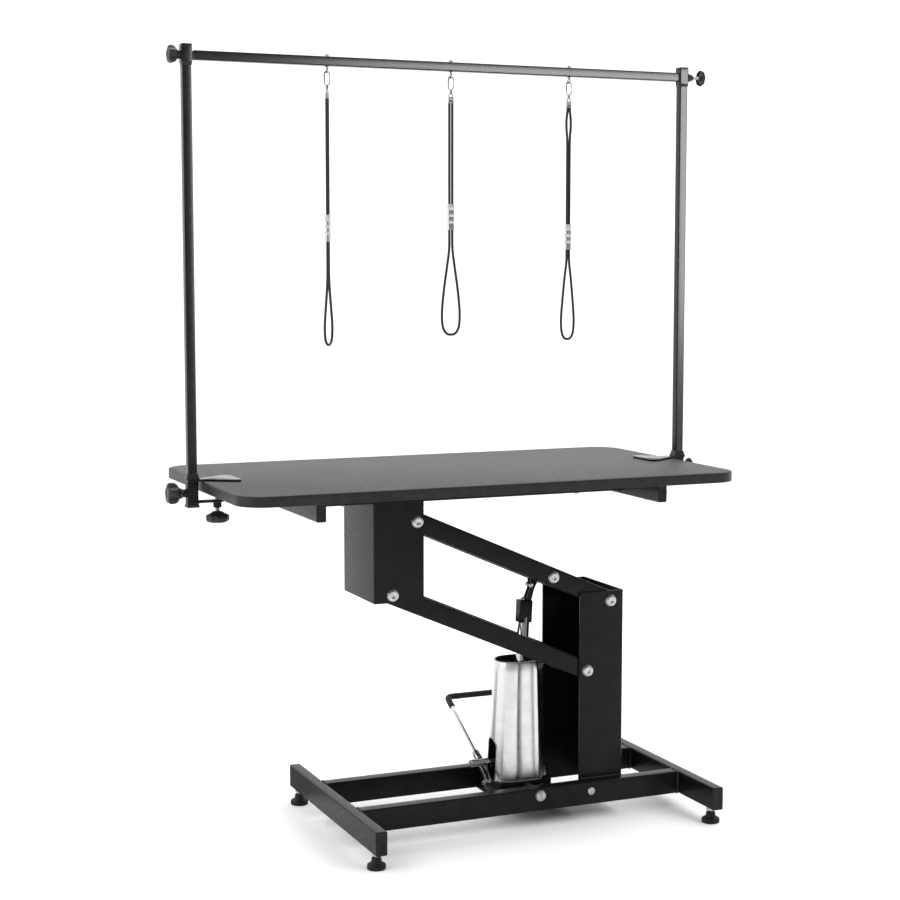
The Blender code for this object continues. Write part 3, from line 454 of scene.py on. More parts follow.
def slab(name, outline, thick, chamfer, matrix, material, body, replaces=()):
    """A plate with softened edges from an outline function that shrinks by its argument."""
    edge = ((chamfer, 0.0), (chamfer * 0.3, chamfer * 0.3), (0.0, chamfer))
    rings = [outline(shrink, z) for shrink, z in edge]
    rings += [outline(shrink, thick - z) for shrink, z in reversed(edge)]
    return piece(name, lofted(name, rings, matrix), material, body, replaces)


def box_piece(name, size, radius, chamfer, matrix, material, body, replaces=()):
    """A rounded block; size runs along the matrix's axes, and the block stands on its origin."""
    def outline(shrink, z):
        return rounded(size[0] - 2 * shrink, size[1] - 2 * shrink, max(radius - shrink, 0.0001), z, 5)
    return slab(name, outline, size[2], chamfer, matrix, material, body, replaces)


def tube_frames(points, up=Z, closed=False):
    """Position and two cross axes at each point of a path, without twist."""
    count = len(points)
    frames = []
    normal = None
    for i, point in enumerate(points):
        before = points[i - 1] if i or closed else points[0]
        after = points[(i + 1) % count] if i < count - 1 or closed else points[-1]
        tangent = (after - before).normalized()
        if normal is None:
            normal = up if abs(tangent.dot(up)) < 0.95 else X
        normal = (normal - tangent * normal.dot(tangent)).normalized()
        frames.append((point, normal, tangent.cross(normal)))
    return frames


def sweep_rings(points, section, up=Z, closed=False):
    """section(i) gives the (a, b) offsets of the ring at point i."""
    frames = tube_frames(points, up, closed)
    return [[place + first * a + second * b for a, b in section(i)]
            for i, (place, first, second) in enumerate(frames)]


def wire_piece(name, points, radius, material, body, replaces=(), sides=14, closed=False, up=Z,
               soft_ends=True, radius_at=None):
    """A round bar along points, with rounded ends."""
    count = len(points)

    def section(i):
        r = radius_at(i / max(1, count - 1)) if radius_at else radius
        return [(r * math.cos(2 * math.pi * k / sides), r * math.sin(2 * math.pi * k / sides))
                for k in range(sides)]
    rings = sweep_rings(points, section, up, closed)
    if soft_ends and not closed:
        rings = soften_ends(points, rings, radius)
    return piece(name, lofted(name, rings, closed=closed), material, body, replaces)


def soften_ends(points, rings, radius):
    """Draws the first and last rings in over a short dome."""
    def drawn(ring, centre, way):
        return [[centre + (point - centre) * scale + way * shift for point in ring]
                for scale, shift in ((0.35, radius * 0.42), (0.75, radius * 0.30), (0.94, radius * 0.14))]
    first = drawn(rings[0], points[0], (points[0] - points[1]).normalized())
    last = drawn(rings[-1], points[-1], (points[-1] - points[-2]).normalized())
    return first + rings + list(reversed(last))


def arc_points(centre, radius, start, end, steps, first=X, second=Z):
    """Points of an arc in the plane of two axes, angles in degrees."""
    angles = [math.radians(start + (end - start) * i / steps) for i in range(steps + 1)]
    return [Vector(centre) + first * radius * math.cos(a) + second * radius * math.sin(a) for a in angles]


def catmull(knots, step):
    """Evenly spaced points on a smooth curve through the knots."""
    knots = [Vector(knot) for knot in knots]
    padded = [2 * knots[0] - knots[1]] + knots + [2 * knots[-1] - knots[-2]]
    fine = []
    for i in range(len(knots) - 1):
        p0, p1, p2, p3 = padded[i:i + 4]
        for j in range(24):
            t = j / 24
            fine.append(0.5 * (2 * p1 + (p2 - p0) * t + (2 * p0 - 5 * p1 + 4 * p2 - p3) * t * t
                               + (3 * p1 - p0 - 3 * p2 + p3) * t ** 3))
    fine.append(knots[-1])
    lengths = [0.0]
    for a, b in zip(fine, fine[1:]):
        lengths.append(lengths[-1] + (b - a).length)
    count = max(2, round(lengths[-1] / step))
    points = []
    place = 0
    for i in range(count + 1):
        wanted = lengths[-1] * i / count
        while place < len(fine) - 2 and lengths[place + 1] < wanted:
            place += 1
        span = lengths[place + 1] - lengths[place]
        points.append(fine[place].lerp(fine[place + 1], (wanted - lengths[place]) / span))
    return points, lengths[-1]


THREAD_SIDES = 20
RINGS_PER_TURN = 5


def threaded_rings(radius, low, high, pitch):
    """Rings of a screw thread between two heights."""
    depth = pitch * 0.5
    count = max(2, int((high - low) / pitch * RINGS_PER_TURN))
    rings = []
    for i in range(count + 1):
        z = low + (high - low) * i / count
        fade = min(1.0, (z - low) / pitch, (high - z) / pitch)

        def radius_at(angle):
            turn = (z / pitch - angle / (2 * math.pi)) % 1.0
            return radius - depth * (abs(2 * turn - 1) * fade + (1 - fade) * 0.8)
        rings.append(polar(radius_at, THREAD_SIDES, z))
    return rings


def thread_piece(name, radius, length, pitch, matrix, material, body, replaces=()):
    """A threaded rod from the matrix's origin along its +Z, with a chamfered tip."""
    rings = [circle(radius - pitch * 0.7, THREAD_SIDES)]
    rings += threaded_rings(radius, 0.0001, length - 0.0006, pitch)
    rings += [circle(radius * 0.72, THREAD_SIDES, length)]
    return piece(name, lofted(name, rings, matrix), material, body, replaces, 60)


# ---------------------------------------------------------------- repeated hardware
def hex_nut(name, flats, height, bore, matrix, material, body, collar=0.0, replaces=()):
    """A chamfered nut, with a locking collar on its outer side when collar is set."""
    sides = 48
    hexagonal = hexagon(flats)
    rim = flats / 2 * 1.02

    def chamfered(angle):
        return min(hexagonal(angle), rim)
    body_top = height - collar
    rings = [circle(bore, sides, 0.0), circle(rim * 0.97, sides, 0.0), polar(chamfered, sides, 0.0001)]
    rings += [polar(hexagonal, sides, flats * 0.045), polar(hexagonal, sides, body_top - flats * 0.05)]
    rings += [polar(chamfered, sides, body_top - 0.0001)]
    if collar:
        rings += [circle(flats * 0.42, sides, body_top), circle(flats * 0.41, sides, height - collar * 0.4),
                  circle(flats * 0.36, sides, height), circle(bore * 1.06, sides, height)]
    rings += [circle(bore, sides, height - collar * 0.5)]
    return piece(name, lofted(name, rings, matrix, True), material, body, replaces, 32)


def washer(name, outer, bore, thick, matrix, material, body):
    sides = 44
    c = thick * 0.25
    rings = [circle(bore, sides, 0.0), circle(outer - c, sides, 0.0), circle(outer, sides, c),
             circle(outer, sides, thick - c), circle(outer - c, sides, thick), circle(bore, sides, thick)]
    return piece(name, lofted(name, rings, matrix, True), material, body)


def socket_head(name, radius, height, flats, matrix, material, body, shank=(), replaces=()):
    """A low domed head with a hexagon socket; shank adds (radius, depth below the head) rings."""
    sides = 48
    rings = [circle(r, sides, -depth) for r, depth in reversed(shank)]
    rings += [circle(radius * 0.985, sides, 0.0), circle(radius, sides, height * 0.10)]
    rings += [circle(radius, sides, height * 0.38)]
    for k in range(1, 7):
        angle = math.pi / 2 * k / 6
        rings.append(circle(radius - radius * 0.30 * (1 - math.cos(angle)), sides,
                            height * (0.38 + 0.62 * math.sin(angle))))
    hexagonal = hexagon(flats)
    rings += [circle(flats * 0.66, sides, height), circle(flats * 0.60, sides, height * 0.97)]
    rings += [polar(hexagonal, sides, height * 0.93), polar(hexagonal, sides, height * 0.62)]
    rings += [circle(flats * 0.2, sides, height * 0.56)]
    return piece(name, lofted(name, rings, matrix), material, body, replaces, 30)


def through_bolt(node, place, half, shaft, head, height, body):
    """A bolt along Y: socket head and washer on the front, washer and locknut at the back."""
    front = Vector((place.x, -half, place.z))
    back = Vector((place.x, half, place.z))
    flats = head * 0.44
    socket_head(node, head * 0.94, height - 0.0013, flats, axes(front - Y * 0.0013, -Y), ZINC, body,
                ((shaft * 0.8, 2 * half + height), (shaft, 2 * half + height - 0.002),
                               (shaft, 0.0002)), (node,))
    washer(f"{node}_washer_front", head, shaft, 0.0013, axes(front, -Y), ZINC, body)
    washer(f"{node}_washer_back", head, shaft, 0.0013, axes(back, Y), ZINC, body)
    hex_nut(f"{node}_nut", head * 1.62, height - 0.0018, shaft, axes(back + Y * 0.0013, Y), ZINC, body,
            height * 0.25)


def small_bolt(name, place, along, radius, height, body, sunk=0.004):
    """A small button-head screw standing on a face."""
    socket_head(name, radius, height, radius * 0.95, axes(place, along), ZINC, body,
                ((radius * 0.45, sunk), (radius * 0.45, 0.0001)))


def weld_bead(name, points, radius, body, closed=False, pitch=0.0032):
    """A painted fillet of overlapping weld ripples along a path."""
    spaced = resampled(points, 0.0009, closed)

    def radius_at(t):
        along = t * len(spaced) * 0.0009 / pitch
        return radius * (0.80 + 0.20 * abs(math.sin(math.pi * along)) + 0.06 * math.sin(2.3 * along))
    return wire_piece(name, spaced, radius, WELD, body, (), 10, closed, Z, True, radius_at)


def resampled(points, step, closed=False):
    """Evenly spaced points along straight runs between the given points."""
    ends = list(points) + ([points[0]] if closed else [])
    result = []
    for a, b in zip(ends, ends[1:]):
        count = max(1, round((b - a).length / step))
        result += [a.lerp(b, i / count) for i in range(count)]
    return result if closed else result + [ends[-1]]


def hollow_tube(name, width, height, radius, wall, length, matrix, body, replaces=(), caps=(0, 1),
                material=None):
    """A rectangular tube along the matrix's +Z, with a moulded plug in each end named in caps."""
    def ring(inset, z, inner=False):
        grow = wall if inner else 0.0
        return rounded(width - 2 * (inset + grow), height - 2 * (inset + grow),
                       max(radius - inset - grow, 0.0006), z, 6)
    chamfer = 0.0004
    lip = 0.0016
    low = lip if 0 in caps else 0.0
    high = length - (lip if 1 in caps else 0.0)
    rings = [ring(chamfer, low), ring(0.0, low + chamfer), ring(0.0, high - chamfer), ring(chamfer, high)]
    rings += [ring(0.0, high, True), ring(0.0, low, True)]
    tube = piece(name, lofted(name, rings, matrix, True), material or POWDER, body, replaces)
    for number in caps:
        flip = Matrix.Rotation(math.pi, 4, "X") if number == 0 else Matrix.Identity(4)
        spot = matrix @ Matrix.Translation((0, 0, low if number == 0 else high)) @ flip
        end_plug(f"{name}_plug_{number + 1}", width, height, radius, wall, lip, spot, body)
    return tube


def end_plug(name, width, height, radius, wall, lip, matrix, body):
    """A ribbed plastic plug: a flange on the tube's end and a stem inside it."""
    def ring(inset, z):
        return rounded(width - 2 * inset, height - 2 * inset, max(radius - inset, 0.0005), z, 6)
    rings = [ring(wall + 0.0007, -0.012), ring(wall + 0.0002, -0.010), ring(wall + 0.0002, 0.0),
             ring(0.0003, 0.0001), ring(0.0001, 0.0004), ring(0.0001, lip - 0.0007),
             ring(0.0005, lip - 0.0002), ring(0.0010, lip), ring(min(width, height) * 0.22, lip),
             ring(min(width, height) * 0.26, lip - 0.0003)]
    piece(name, lofted(name, rings, matrix), PLASTIC, body)


def box_of(node):
    low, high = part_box(node)
    return Vector(low), Vector(high)


def straight_tube(node, axis, body, radius=0.0032, wall=0.002, caps=(0, 1)):
    """The fine version of a CAD tube that runs along one of the frame's axes."""
    low, high = box_of(node)
    size = high - low
    middle = (low + high) / 2
    along = (X, Y, Z)[axis]
    across = (Y, X, X)[axis]
    origin = middle - along * size[axis] / 2
    matrix = axes(origin, along, across)
    width = abs(size.dot(across))
    height = size[1] if axis == 2 else size[2]
    return hollow_tube(node, width, height, radius, wall, size[axis], matrix, body, (node,), caps)


# ---------------------------------------------------------------- nooses (first, with the camera)
BRAID_LOBES = 7
BRAID_PITCH = 0.0105
BRAID_DEPTH = 0.075
CORD_SIDES = 28
CORD_RING_STEP = 0.0009


def braid(angle, along):
    """Relief of a round braid: two families of yarns that cross on the surface."""
    twist = 2 * math.pi * along / BRAID_PITCH
    left = abs(math.sin(BRAID_LOBES * (angle + twist) / 2))
    right = abs(math.sin(BRAID_LOBES * (angle - twist) / 2))
    return max(left, right) * 0.7 + left * right * 0.3


def noose_route(x, turn, outline):
    spin = Matrix.Rotation(math.radians(turn), 4, "Z")
    down = [Vector((-gap, 0, z)) for gap, z in outline]
    lowest = Vector((0, 0, outline[-1][1] - 0.0030))
    up = [Vector((gap, 0, z)) for gap, z in reversed(outline)]
    return [Vector((x, 0, 0)) + spin @ point for point in down + [lowest] + up]


def make_cord(number, x, turn, outline):
    points, length = catmull(noose_route(x, turn, outline), CORD_RING_STEP)
    side = Matrix.Rotation(math.radians(turn), 4, "Z") @ Y

    def section(i):
        ring = []
        for k in range(CORD_SIDES):
            angle = 2 * math.pi * k / CORD_SIDES
            radius = CORD_RADIUS * (1 - BRAID_DEPTH + BRAID_DEPTH * braid(angle, i * CORD_RING_STEP))
            ring.append((radius * math.cos(angle), radius * math.sin(angle)))
        return ring
    name = f"cord_{number}"
    mesh = lofted(name, sweep_rings(points, section, side))
    cord = piece(name, mesh, BRAID, f"noose_{number}", (f"noose_cord_{number}",), 80)
    return cord, points, length


def make_slider(number, x, turn, middle):
    """A metal sleeve with rolled ends that pinches the two strands together."""
    height = 0.056

    def ring(grow, z):
        return rounded(0.0150 + 2 * grow, 0.0090 + 2 * grow, 0.0043 + grow, z, 8)
    rolled_end = ((-0.0011, 0.0006), (-0.0005, 0.0), (0.0002, 0.0004), (0.0003, 0.0012), (0.0001, 0.0024),
                  (0.0, 0.0034))
    groove = ((0.0, -0.0016), (-0.0004, -0.0008), (-0.0004, 0.0008), (0.0, 0.0016))
    rings = [ring(grow, z - height / 2) for grow, z in rolled_end]
    for middle_z in (-0.014, 0.0, 0.014):
        rings += [ring(grow, middle_z + z) for grow, z in groove]
    rings += [ring(grow, height / 2 - z) for grow, z in reversed(rolled_end)]
    name = f"slider_{number}"
    matrix = Matrix.Translation((x, 0, middle)) @ Matrix.Rotation(math.radians(turn), 4, "Z")
    mesh = lofted(name, rings, matrix, True)
    return piece(name, mesh, ZINC, name, (f"noose_slider_{number}",))


def make_nooses():
    for number, (x, turn, slider_z, outline) in enumerate(NOOSES, 1):
        cord, points, length = make_cord(number, x, turn, outline)
        slider = make_slider(number, x, turn, slider_z)
        tuple(points[0])
        make_swivel(number, x, turn)
        make_hook(number, x)


def make_swivel(number, x, turn):
    """The eye that turns under the hook, and the ferrule that grips both cord ends."""
    body = f"noose_{number}"
    barrel_bottom = HOOK_PIVOT_Z - 0.0215 - 0.0058 + 0.0008 - 0.0062
    ring_z = barrel_bottom - 0.0003 - 0.0012 - 0.0050
    spin = Matrix.Rotation(math.radians(turn), 4, "Z")
    ring = arc_points((x, 0, ring_z), 0.0042, 0, 360, 36, spin @ X)[:-1]
    wire_piece(f"swivel_ring_{number}", ring, 0.0013, CHROME, body, (f"swivel_eye_{number}",), 14,
               True, spin @ Y)
    collar = ((0.0, -0.0003), (0.0026, -0.0003), (0.0030, -0.0007), (0.0030, -0.0018), (0.0022, -0.0026),
              (0.0, -0.0030))
    lathe(f"swivel_collar_{number}", collar, axes((x, 0, barrel_bottom)), CHROME, body, sides=28)
    top = ring_z - 0.0035
    bottom = CORD_TOP + 0.0003
    size = top - bottom

    def outline(shrink, z):
        return rounded(0.0128 - 2 * shrink, 0.0072 - 2 * shrink, 0.0030 - shrink, z, 8)
    profile = ((0.0006, 0.0), (0.0002, 0.0002), (0.0, 0.0007), (0.0, size * 0.30), (0.0007, size * 0.42),
               (0.0007, size * 0.58), (0.0, size * 0.70), (0.0, size - 0.0009), (0.0006, size - 0.0002),
               (0.0014, size))
    name = f"ferrule_{number}"
    matrix = Matrix.Translation((x, 0, bottom)) @ spin
    rings = [outline(shrink, z) for shrink, z in profile]
    piece(name, lofted(name, rings, matrix), CHROME, body)


def make_hook(number, x):
    """A trigger snap: cast hook, spring gate with its thumb stud, and swivel barrel."""
    body = f"hook_{number}"
    half = 0.0058
    upper = HOOK_PIVOT_Z - half
    lower = HOOK_PIVOT_Z - 0.0215
    tip = Vector((x + half, 0, upper - 0.0045))
    points = [tip] + arc_points((x, 0, upper), half, 0, 180, 18)
    points += arc_points((x, 0, lower), half, 180, 360, 18) + [Vector((x + half, 0, lower + 0.0030))]
    points, _ = catmull(points, 0.0009)

    def radius_at(t):
        return 0.00120 + 0.00055 * math.sin(math.pi * min(1.0, t * 1.25)) ** 2
    wire_piece(f"hook_bow_{number}", points, 0.0013, CHROME, body, (f"snap_hook_{number}",), 16,
               up=Y, radius_at=radius_at)
    gate = [Vector((x + half, 0, lower + 0.0022)), tip - Z * 0.0006]
    wire_piece(f"hook_gate_{number}", resampled(gate, 0.0010), 0.00085, ZINC, body, sides=12)
    stud = Vector((x + half + 0.0004, 0, lower + 0.0045))
    wire_piece(f"hook_stud_{number}", [stud, stud + X * 0.0022], 0.00065, ZINC, body, sides=12)
    profile = ((0.0, 0.0), (0.0024, 0.0), (0.0033, -0.0006), (0.0034, -0.0016), (0.0029, -0.0021),
               (0.0029, -0.0040), (0.0034, -0.0045), (0.0034, -0.0056), (0.0028, -0.0062), (0.0, -0.0062))
    barrel = axes((x, 0, lower - half + 0.0008))
    lathe(f"hook_barrel_{number}", profile, barrel, CHROME, body, sides=32)


make_camera()
make_nooses()


# ---------------------------------------------------------------- base
FOOT_PLACES = {1: (-0.262, -0.242), 2: (-0.262, 0.242), 3: (0.520, -0.242), 4: (0.520, 0.242)}
TUBE_TOP = 0.084
TUBE_BOTTOM = 0.034


def make_foot(number, x, y):
    """A levelling foot: ribbed pad, ball neck, threaded stem and its locknut."""
    body = f"foot_{number}"
    profile = ((0.0, 0.0), (0.0180, 0.0), (0.0192, 0.0008), (0.0195, 0.0022), (0.0195, 0.0078),
               (0.0190, 0.0092), (0.0178, 0.0104), (0.0150, 0.0116), (0.0122, 0.0133), (0.0108, 0.0152),
               (0.0104, 0.0185), (0.0102, 0.0215), (0.0092, 0.0232), (0.0062, 0.0240), (0.0, 0.0242))
    lathe(f"foot_pad_{number}", profile, axes((x, y, 0)), PLASTIC, body, (f"foot_{number}",),
          56)
    thread_piece(f"foot_stem_{number}", 0.0048, 0.034, 0.00125, axes((x, y, 0.0240)), ZINC, body)
    hex_nut(f"foot_nut_{number}", 0.0165, 0.0060, 0.0046, axes((x, y, 0.0272)), ZINC, body)


def make_base():
    for side in ("left", "right"):
        straight_tube(f"base_tube_{side}", 1, "base")
    for side in ("front", "back"):
        straight_tube(f"base_rail_{side}", 0, "base", caps=())
    for number, (x, y) in FOOT_PLACES.items():
        make_foot(number, x, y)
        washer(f"foot_boss_{number}", 0.0088, 0.0050, 0.0008, axes((x, y, TUBE_BOTTOM), -Z), ZINC, "base")
    height = TUBE_TOP - TUBE_BOTTOM
    for side in ("front", "back"):
        low, high = box_of(f"base_rail_{side}")
        middle_y = (low.y + high.y) / 2
        for end, end_x, way in (("left", low.x, X), ("right", high.x, -X)):
            ring = rounded(height, high.y - low.y, 0.0035, 0.0, 4)
            matrix = axes((end_x + way.x * 0.0010, middle_y, (TUBE_TOP + TUBE_BOTTOM) / 2), way, Z)
            weld_bead(f"weld_rail_{side}_{end}", [matrix @ point for point in ring], 0.0021, "base", True)
    through_bolt("pump_pivot_bolt", PUMP_PIVOT, 0.1243, 0.006, 0.012, 0.006, "base")
    for side, way in FRONT_AND_BACK:
        small_bolt(f"column_fixing_{side}", Vector((0.287, way * 0.1240, 0.0645)), Y * way, 0.0088, 0.0042,
                   "base", 0.030)


# ---------------------------------------------------------------- folded channels
def channel(name, open_x, back_x, low, high, radius, body, replaces):
    """A folded sheet channel: its web at back_x, its two walls running to open_x."""
    sign = 1 if back_x > open_x else -1
    steps = 8

    def path(half, inset):
        corner = max(radius - inset, 0.0008)
        web = back_x - sign * inset
        points = [Vector((open_x, -half + inset, 0))]
        points += [Vector((web - sign * corner + sign * corner * math.sin(a),
                           -half + inset + corner - corner * math.cos(a), 0))
                   for a in (math.pi / 2 * i / steps for i in range(steps + 1))]
        mirrored = [Vector((point.x, -point.y, 0)) for point in reversed(points)]
        return points + mirrored
    outer = path(CHANNEL_HALF, 0.0)
    inner = path(CHANNEL_HALF, CHANNEL_WALL)
    c = 0.0006
    share = c / CHANNEL_WALL
    rings = []
    for a, b in zip(outer, inner):
        rings.append([a + Z * (low + c), a + Z * (high - c), a.lerp(b, share) + Z * high,
                      a.lerp(b, 1 - share) + Z * high, b + Z * (high - c), b + Z * (low + c),
                      a.lerp(b, 1 - share) + Z * low, a.lerp(b, share) + Z * low])
    return piece(name, lofted(name, rings), POWDER, body, replaces)


def bushing(name, place, side, inner, outer, body):
    """A flanged plastic bush between an arm and its channel wall."""
    start = Vector((place.x, side * inner, place.z))
    washer(name, 0.0150, 0.0082, outer - inner, axes(start, Y * side), PLASTIC, body)


def make_column():
    low, high = box_of("column")
    channel("column", low.x, high.x, low.z, high.z, 0.006, "base", ("column",))
    for side, way in FRONT_AND_BACK:
        y = way * (CHANNEL_HALF + 0.0003)
        bead = [Vector((bead_x, y, TUBE_TOP + 0.0002)) for bead_x in (low.x + 0.003, high.x - 0.003)]
        weld_bead(f"weld_column_{side}", bead, 0.0020, "base")
    for name, place in (("upper", UPPER_PIVOT), ("lower", LOWER_PIVOT)):
        through_bolt(f"column_bolt_{name}", place, CHANNEL_HALF + 0.0003, 0.008, 0.013, 0.0065, "base")


def make_head():
    low, high = box_of("head_bracket")
    channel("head_bracket", high.x, low.x, low.z, high.z, 0.006, "table", ("head_bracket",))
    for name, place in (("upper", HEAD_UPPER), ("lower", HEAD_LOWER)):
        through_bolt(f"head_bolt_{name}", place, CHANNEL_HALF + 0.0003, 0.008, 0.013, 0.0065, "table")
    for number, x in enumerate((-0.1560, -0.1130), 1):
        for side, way in FRONT_AND_BACK:
            small_bolt(f"head_fixing_{side}_{number}", Vector((x, way * CHANNEL_HALF, 0.7395)), Y * way,
                       0.0062, 0.0032, "table", 0.012)


# ---------------------------------------------------------------- arms
def make_arms():
    for level, start, body in (("upper", UPPER_PIVOT, "upper_arm"), ("lower", LOWER_PIVOT, "lower_arm")):
        for side, way in FRONT_AND_BACK:
            origin = start - ALONG_ARM * ARM_OVERHANG + Y * way * (ARM_OUTER - 0.010)
            hollow_tube(f"{level}_arm_{side}", 0.020, 0.040, 0.0036, 0.0025, ARM_LENGTH + 2 * ARM_OVERHANG,
                        axes(origin, ALONG_ARM, Y), body, (f"{level}_arm_{side}",))
            for end, place in (("column", start), ("head", start + ALONG_ARM * ARM_LENGTH)):
                bushing(f"{level}_bush_{side}_{end}", place, way, ARM_OUTER, ARM_OUTER + 0.0009, body)
    through_bolt("lift_bolt", LIFT_PIVOT, ARM_OUTER + 0.0003, 0.008, 0.013, 0.0065, "upper_arm")
    for side, way in FRONT_AND_BACK:
        spacer = ((0.0082, 0.0), (0.0125, 0.0), (0.0130, 0.0005), (0.0130, 0.0440), (0.0125, 0.0445),
                  (0.0082, 0.0445))
        place = Vector((LIFT_PIVOT.x, way * 0.0683, LIFT_PIVOT.z))
        lathe(f"lift_spacer_{side}", spacer, axes(place, Y * -way), POWDER, "upper_arm")


# ---------------------------------------------------------------- table top
def make_top():
    inner_length = TABLE_LENGTH - 0.0046
    inner_width = TABLE_WIDTH - 0.0046
    corner = TABLE_CORNER - 0.0023

    def outline(shrink, z):
        return rounded(inner_length - 2 * shrink, inner_width - 2 * shrink, corner - shrink, z, 14)
    slab("table_board", outline, 0.018, 0.0006, axes((0, 0, BOARD_BOTTOM)), WOOD, "table",
         ("table_board",))
    slab("table_mat", outline, 0.003, 0.0007, axes((0, 0, TABLE_TOP - 0.003)), MAT, "table",
         ("table_mat",))
    height = BAND_TOP - BOARD_BOTTOM
    profile = ((0.0021, 0.0), (0.0006, 0.0), (0.0001, 0.0004), (0.0, 0.0010), (0.0, 0.0028), (0.0005, 0.0033),
               (0.0005, 0.0041), (0.0001, 0.0046), (0.0, 0.0070), (0.0, height - 0.0030),
               (0.0002, height - 0.0014), (0.0008, height - 0.0004), (0.0016, height), (0.0021, height))
    rings = [rounded(TABLE_LENGTH - 2 * inset, TABLE_WIDTH - 2 * inset, TABLE_CORNER - inset, z, 14)
             for inset, z in profile]
    mesh = lofted("edge_band", rings, axes((0, 0, BOARD_BOTTOM)), True)
    piece("edge_band", mesh, EDGING, "table", ("edge_band",), 30)


def make_table_frame():
    for side in ("left", "right"):
        straight_tube(f"frame_cross_{side}", 1, "table")
    for side in ("front", "back"):
        straight_tube(f"frame_rail_{side}", 0, "table", caps=())
        low, high = box_of(f"frame_rail_{side}")
        middle = (low + high) / 2
        for end, end_x, way in (("left", low.x, 1), ("right", high.x, -1)):
            bead = [Vector((end_x + way * 0.0008, y, low.z)) for y in (low.y, high.y)]
            weld_bead(f"weld_frame_{side}_{end}", bead, 0.0018, "table")
        for end, x in (("left", -0.27), ("right", 0.27)):
            small_bolt(f"board_screw_{side}_{end}", Vector((x, middle.y, low.z)), -Z, 0.0055, 0.0028, "table",
                       0.010)
    for side, way in (("left", -1), ("right", 1)):
        low, high = box_of(f"frame_cross_{side}")
        middle = (low + high) / 2
        for end, y in (("front", -0.19), ("back", 0.19)):
            small_bolt(f"cross_screw_{side}_{end}", Vector((middle.x, y, low.z)), -Z, 0.0055, 0.0028, "table",
                       0.010)


# ---------------------------------------------------------------- pump
COVER_X = 0.165
COVER_BOTTOM = 0.0800
COVER_TOP = 0.346
COVER_WALL = 0.0015
COVER_BULGE = 0.0040
CORNER_STEPS = 14
ARCH_HALF = 0.021
ARCH_TOP = 0.152
CAP_TOP = 0.476
CAP_BOTTOM = 0.427
ROD_RADIUS = 0.0130


def ram_point(height):
    return PUMP_PIVOT + Vector((math.tan(RAM_LEAN), 0, 1)) * (height - PUMP_PIVOT.z)


RAM_AXIS = (ram_point(1.0) - ram_point(0.0)).normalized()


def cover_ring(z, inset=0.0):
    """The cover's section at a height: rounded, with bowed sides; it tapers and turns in at its rim."""
    share = (z - COVER_BOTTOM) / (COVER_TOP - 0.004 - COVER_BOTTOM)
    turn_in = max(0.0, z - (COVER_TOP - 0.004)) / 0.004
    share = min(share, 1.0)
    length = 0.1290 + (0.1070 - 0.1290) * share - 0.003 * turn_in - 2 * inset - COVER_BULGE
    width = 0.094 + (0.078 - 0.094) * share - 0.003 * turn_in - 2 * inset - 1.5 * COVER_BULGE
    radius = 0.036 + (0.030 - 0.036) * share - 0.001 * turn_in - inset
    x = COVER_X + (0.1688 - COVER_X) * share
    ring = with_sides(rounded(length, width, radius, z, CORNER_STEPS))
    return [bowed(point, length, width) + Vector((x, 0, 0)) for point in ring]


def with_sides(ring):
    """Adds points along the straight runs between the corners."""
    result = []
    for i, point in enumerate(ring):
        result.append(point)
        if i % (CORNER_STEPS + 1) == CORNER_STEPS:
            following = ring[(i + 1) % len(ring)]
            result += [point.lerp(following, k / 10) for k in range(1, 10)]
    return result


def bowed(point, length, width):
    """Swells a point of the section outwards, most in the middle of each side."""
    along_x = math.cos(math.pi * point.x / length) * COVER_BULGE
    along_y = math.cos(math.pi * point.y / width) * COVER_BULGE
    return Vector((point.x * (1 + 2 * along_y / length), point.y * (1 + 2 * along_x / width), point.z))


def cover_face_x(y, z):
    """Where the cover's pedal side is, at a width and a height."""
    ring = [point for point in cover_ring(z) if point.x < 0.150]
    ring.sort(key=lambda point: point.y)
    for first, second in zip(ring, ring[1:]):
        if first.y <= y <= second.y:
            return first.lerp(second, (y - first.y) / max(second.y - first.y, 1e-9)).x
    return ring[0].x


def arch_points(steps=24):
    """The cutout's edge in the YZ plane, from the cover's foot over the arch and down again."""
    points = [(-ARCH_HALF, COVER_BOTTOM)]
    for i in range(steps + 1):
        angle = math.pi * i / steps
        points.append((-ARCH_HALF * math.cos(angle), ARCH_TOP + ARCH_HALF * math.sin(angle)))
    return points + [(ARCH_HALF, COVER_BOTTOM)]


def without(obj, cutter_mesh):
    """Cuts one mesh out of a piece and keeps the result as the piece's own mesh."""
    cutter = bpy.data.objects.new("cutter", cutter_mesh)
    bpy.context.scene.collection.objects.link(cutter)
    modifier = obj.modifiers.new("cut", "BOOLEAN")
    modifier.operation = "DIFFERENCE"
    modifier.object = cutter
    bpy.context.view_layer.update()
    evaluated = obj.evaluated_get(bpy.context.evaluated_depsgraph_get())
    mesh = bpy.data.meshes.new_from_object(evaluated)
    obj.modifiers.clear()
    mesh.name = obj.data.name
    obj.data = mesh
    mesh.shade_smooth()
    mesh.set_sharp_from_angle(angle=math.radians(38))
    bpy.data.objects.remove(cutter, do_unlink=True)


